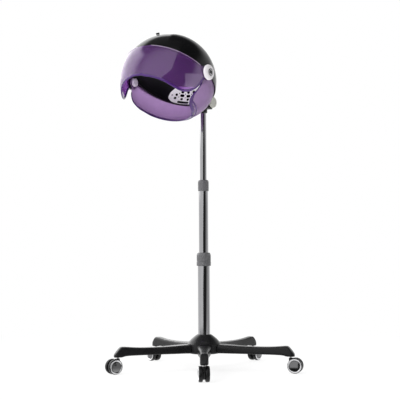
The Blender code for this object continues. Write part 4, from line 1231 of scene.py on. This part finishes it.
# side outline of the fork's web: distance behind the stem, height
WEB = [
    (-0.0060, 0.0520), (-0.0060, 0.0430), (-0.0020, 0.0270), (0.0060, 0.0125),
    (0.0160, 0.0070), (0.0270, 0.0105), (0.0350, 0.0195), (0.0362, 0.0300),
    (0.0320, 0.0405), (0.0230, 0.0480), (0.0100, 0.0520),
]
web = [WEB[0]] + spline(WEB[1:-1], 5) + [WEB[-1]]
# wheel profiles, with the height measured from the wheel's inner face
TYRE = fillet([
    (0.0240, WHEEL_W - 0.0002), (0.0252, WHEEL_W - 0.0010), (0.0258, WHEEL_W - 0.0034),
    (WHEEL_R, WHEEL_W - 0.0060), (WHEEL_R, 0.0050), (0.0258, 0.0022), (0.0238, 0), (0.0046, 0),
    (0.0046, WHEEL_W - 0.0035), (0.0236, WHEEL_W - 0.0035),
], 0.0009, 3, True, 8)
TRIM = fillet([
    (0.0240, WHEEL_W - 0.0030), (0.0240, WHEEL_W - 0.0001), (0.0232, WHEEL_W + 0.0005),
    (0.0205, WHEEL_W + 0.0005), (0.0192, WHEEL_W - 0.0003), (0.0184, WHEEL_W - 0.0014),
    (0.0184, WHEEL_W - 0.0030),
], 0.0007, 4, True, 8)
DISC = (
    [(0, WHEEL_W + 0.0001)]
    + [(0.0174 * k / 8, WHEEL_W + 0.0001 - 0.0011 * (k / 8) ** 2) for k in range(1, 9)]
    + [(0.0178, WHEEL_W - 0.0014), (0.0178, WHEEL_W - 0.0032), (0, WHEEL_W - 0.0032)]
)


def build_caster(n, angle, yaw):
    stem = Vector((STEM_R * cos(rad(angle)), STEM_R * sin(rad(angle)), 0))
    place = move(stem) @ turn(yaw, "Z")
    fork = slab(f"fork_{n}", web, 0.0035, "base", place @ UPRIGHT, 0.0009)
    axle_at = place @ move((TRAIL, 0, WHEEL_R)) @ turn(90, "X")
    cut(fork, cyl("neck", 0.0060, 0.0495, 0.0522, place, 40),
        cyl("axle", 0.0040, -0.0175, 0.0175, axle_at, 32), operation="UNION")
    cut(fork, cyl("spigot", 0.0024, 0.0437, 0.0600, place, 20))
    bake(fork)
    put(fork, f"caster_{n}", f"caster_{n}_housing")
    for side, way in (("left", 1), ("right", -1)):
        wheel_at = place @ move((TRAIL, way * WHEEL_IN, WHEEL_R)) @ turn(-way * 90, "X")
        label, wheel = f"{n}_{side}", f"wheel_{n}_{side}"
        put(turned(f"tyre_{label}", TYRE, "tread", 96, wheel_at, ring=True),
            wheel, f"caster_{n}_wheel_{side}")
        put(turned(f"trim_{label}", TRIM, "chrome", 96, wheel_at, ring=True), wheel)
        put(turned(f"disc_{label}", DISC, "disc", 96, wheel_at), wheel)


for n, yaw in enumerate(CASTER_YAW, 1):
    angle = FIRST_LEG + LEG_STEP * (n - 1)
    build_leg(n, angle)
    build_caster(n, angle, yaw)

# ------------------------------------------------------------------ CAD nodes that stay
FINISH = {
    "column_bolt": "steel", "fan_motor": "steel", "lower_bush": "fan", "upper_bush": "fan",
    "impeller": "fan", "fan_housing": "fan", "heater_frame": "mica", "heater_coil": "wire",
}
FINISH.update({f"caster_{n}_stem": "steel" for n in range(1, 6)})
for name, obj in NODES.items():
    if obj.hide_render:
        continue
    obj.data.materials.clear()
    obj.data.materials.append(MATERIALS[FINISH[name]])
    smooth(obj.data, 35)

for obj in TOOLS:
    bpy.data.objects.remove(obj, do_unlink=True)

# ------------------------------------------------------------------ camera
AZIMUTH = rad(37.06)  # from the front towards the right side
DISTANCE, EYE_Z = 3.375, 0.457
PITCH, YAW, ROLL = 0.0413, 0.0036, 0.0055  # radians
right = Vector((cos(AZIMUTH), sin(AZIMUTH), 0))
depth = Vector((-sin(AZIMUTH), cos(AZIMUTH), 0))  # away from the camera
up = Vector((0, 0, 1))
level_right = right * cos(YAW) + depth * sin(YAW)
look = right * (-sin(YAW) * cos(PITCH)) + depth * (cos(YAW) * cos(PITCH)) + up * sin(PITCH)
level_up = level_right.cross(look)
camera_x = level_right * cos(ROLL) - level_up * sin(ROLL)
camera_y = level_right * sin(ROLL) + level_up * cos(ROLL)
camera = bpy.data.cameras.new("camera")
camera.sensor_width = 36
camera.lens = 85.932
camera.clip_start, camera.clip_end = 0.05, 60
eye = bpy.data.objects.new("camera", camera)
scene.collection.objects.link(eye)
facing = Matrix((camera_x, camera_y, -look)).transposed().to_4x4()
eye.matrix_world = move((DISTANCE * sin(AZIMUTH), -DISTANCE * cos(AZIMUTH), EYE_Z)) @ facing
scene.camera = eye


# ------------------------------------------------------------------ floor
def floor_white():
    """White paper that glows fully for the camera away from the base."""
    mat, graph = material("floor_white", (0.9, 0.9, 0.9))
    at = graph.add("TexCoord", "Object")
    cloud = graph.ramp(graph.noise(at, scale=3), over=BROAD)
    tone = graph.mix(cloud, (0.905, 0.905, 0.905), (0.915, 0.915, 0.915))
    paper = graph.add("BsdfPrincipled", Base_Color=tone, Roughness=0.75, Specular_IOR_Level=0.2)
    out = graph.add("VectorMath", "Value", operation="LENGTH", i0=at)
    far = graph.ramp(out, over=(0.45, 1.5))
    # the glow's share is 0.84 at the base and 1 far out
    share = graph.maths("MULTIPLY_ADD", far, 0.16, 0.84)
    seen = graph.product(share, graph.add("LightPath", "Is Camera Ray"))
    glow = graph.add("Emission", Color=(1, 1, 1, 1), Strength=1.0)
    graph.output(graph.add("MixShader", Fac=seen, i1=paper, i2=glow))
    return mat


MATERIALS["floor"] = floor_white()
disc = bmesh.new()
bmesh.ops.create_circle(disc, cap_ends=True, segments=96, radius=14)
floor = make("floor", disc, "floor", move((0, 0, -0.0004)), fix=False)
floor.visible_glossy = False

# ------------------------------------------------------------------ studio round the product
world = bpy.data.worlds.new("studio")
scene.world = world
world.use_nodes = True
graph = Graph(world.node_tree)
ramp, maths, product = graph.ramp, graph.maths, graph.product
way = graph.add("TexCoord", "Generated")
toward = -depth  # from the object to the camera
front, across, lift = graph.dot(way, toward), graph.dot(way, right), graph.dot(way, (0, 0, 1))
azimuth = product(maths("ARCTAN2", across, front), 180 / pi)  # degrees, right of the camera

# the big soft box on the left; its slanting edge is a curve in front, capped by the height
bend = maths("MULTIPLY_ADD", maths("MULTIPLY_ADD", front, -0.25, 0.33), front, 0.29)
bend = maths("MINIMUM", bend, product(maths("MAXIMUM", lift, 0.0), 1.15))
edge = maths("SUBTRACT", graph.dot(way, right * 0.902 + toward * 0.2407), bend)
left_box = product(
    ramp(edge, over=(-0.012, 0.012), to=(1.0, 0.0)),
    ramp(front, over=(-0.45, -0.20)),
    maths("MAXIMUM", ramp(front, over=(0.0, 0.55), to=(0.10, 1.0)),
          ramp(lift, over=(0.25, 0.45), to=(1.0, 0.0))),
    ramp(lift, over=(-0.26, -0.17)),
)
# the narrower one on the right, weaker towards the back
slid = maths("MULTIPLY_ADD", lift, -45.0, azimuth)  # its edge leans, by 45 degrees per unit lift
off_level = maths("ABSOLUTE", maths("ADD", lift, 0.02))
right_box = product(
    ramp(slid, over=(42, 66)),
    ramp(azimuth, over=(76, 96), to=(1.0, 0.6)),
    ramp(off_level, over=(0.12, 0.30), to=(0.55, 1.2)),
    ramp(lift, over=(0.50, 0.72), to=(1.0, 0.0)),
)
# a bright window far to the left
far_window = product(
    ramp(azimuth, over=(-62, -100)),
    ramp(lift, over=(0.05, 0.20)),
    ramp(lift, over=(0.70, 0.80), to=(2.4, 0.20)),
)
# white paper behind and below
behind = product(ramp(front, over=(-0.05, -0.30)), ramp(lift, over=(0.25, 0.65), to=(1.0, 0.0)))
below = product(ramp(lift, over=(-0.48, -0.75)), 0.85)
level = 0.03  # the dark rest of the room
for part in (left_box, right_box, far_window, behind, below):
    level = maths("MAXIMUM", part, level)
soft = graph.add("Background", Color=(1, 1, 1, 1), Strength=level)
white = graph.add("Background", Color=(1, 1, 1, 1), Strength=1.0)
camera_ray = graph.add("LightPath", "Is Camera Ray")
graph.output(graph.add("MixShader", Fac=camera_ray, i1=soft, i2=white), "OutputWorld")


# ------------------------------------------------------------------ lights
def area(name, at, size, energy, target=(0, 0, 0.5), glossy=False):
    light = bpy.data.lights.new(name, "AREA")
    light.shape, light.size, light.size_y, light.energy = "RECTANGLE", *size, energy
    obj = bpy.data.objects.new(name, light)
    scene.collection.objects.link(obj)
    away = Vector(at) - Vector(target)
    obj.matrix_world = move(at) @ away.to_track_quat("Z", "Y").to_matrix().to_4x4()
    obj.visible_glossy = glossy
    obj.visible_camera = False
    return obj


area("key", at=-right * 2.2 + toward * 1.6 + up * 3.0, size=(2.4, 2.4), energy=90)
area("top", at=(0, 0, 3.6), size=(3.0, 3.0), energy=60)
area("fill", at=right * 2.6 + toward * 1.0 + up * 1.4, size=(1.6, 2.0), energy=18)
area("card", at=HOOD + Vector((0.22, -0.84, -0.50)), size=(0.5, 0.4), energy=6, target=HOOD)
# a reflector card that only the visor catches
visor_parts = bpy.data.collections.new("visor_parts")
for obj in (visor, lip):
    visor_parts.objects.link(obj)
side_way = right * sin(rad(62)) + toward * cos(rad(62))
card = area("visor_card", at=HOOD + side_way * 1.5 - up * 0.08, size=(1.3, 0.75), energy=3.3,
            target=HOOD, glossy=True)
card.light_linking.receiver_collection = visor_parts
scene.view_settings.view_transform = "Standard"
scene.view_settings.look = "None"
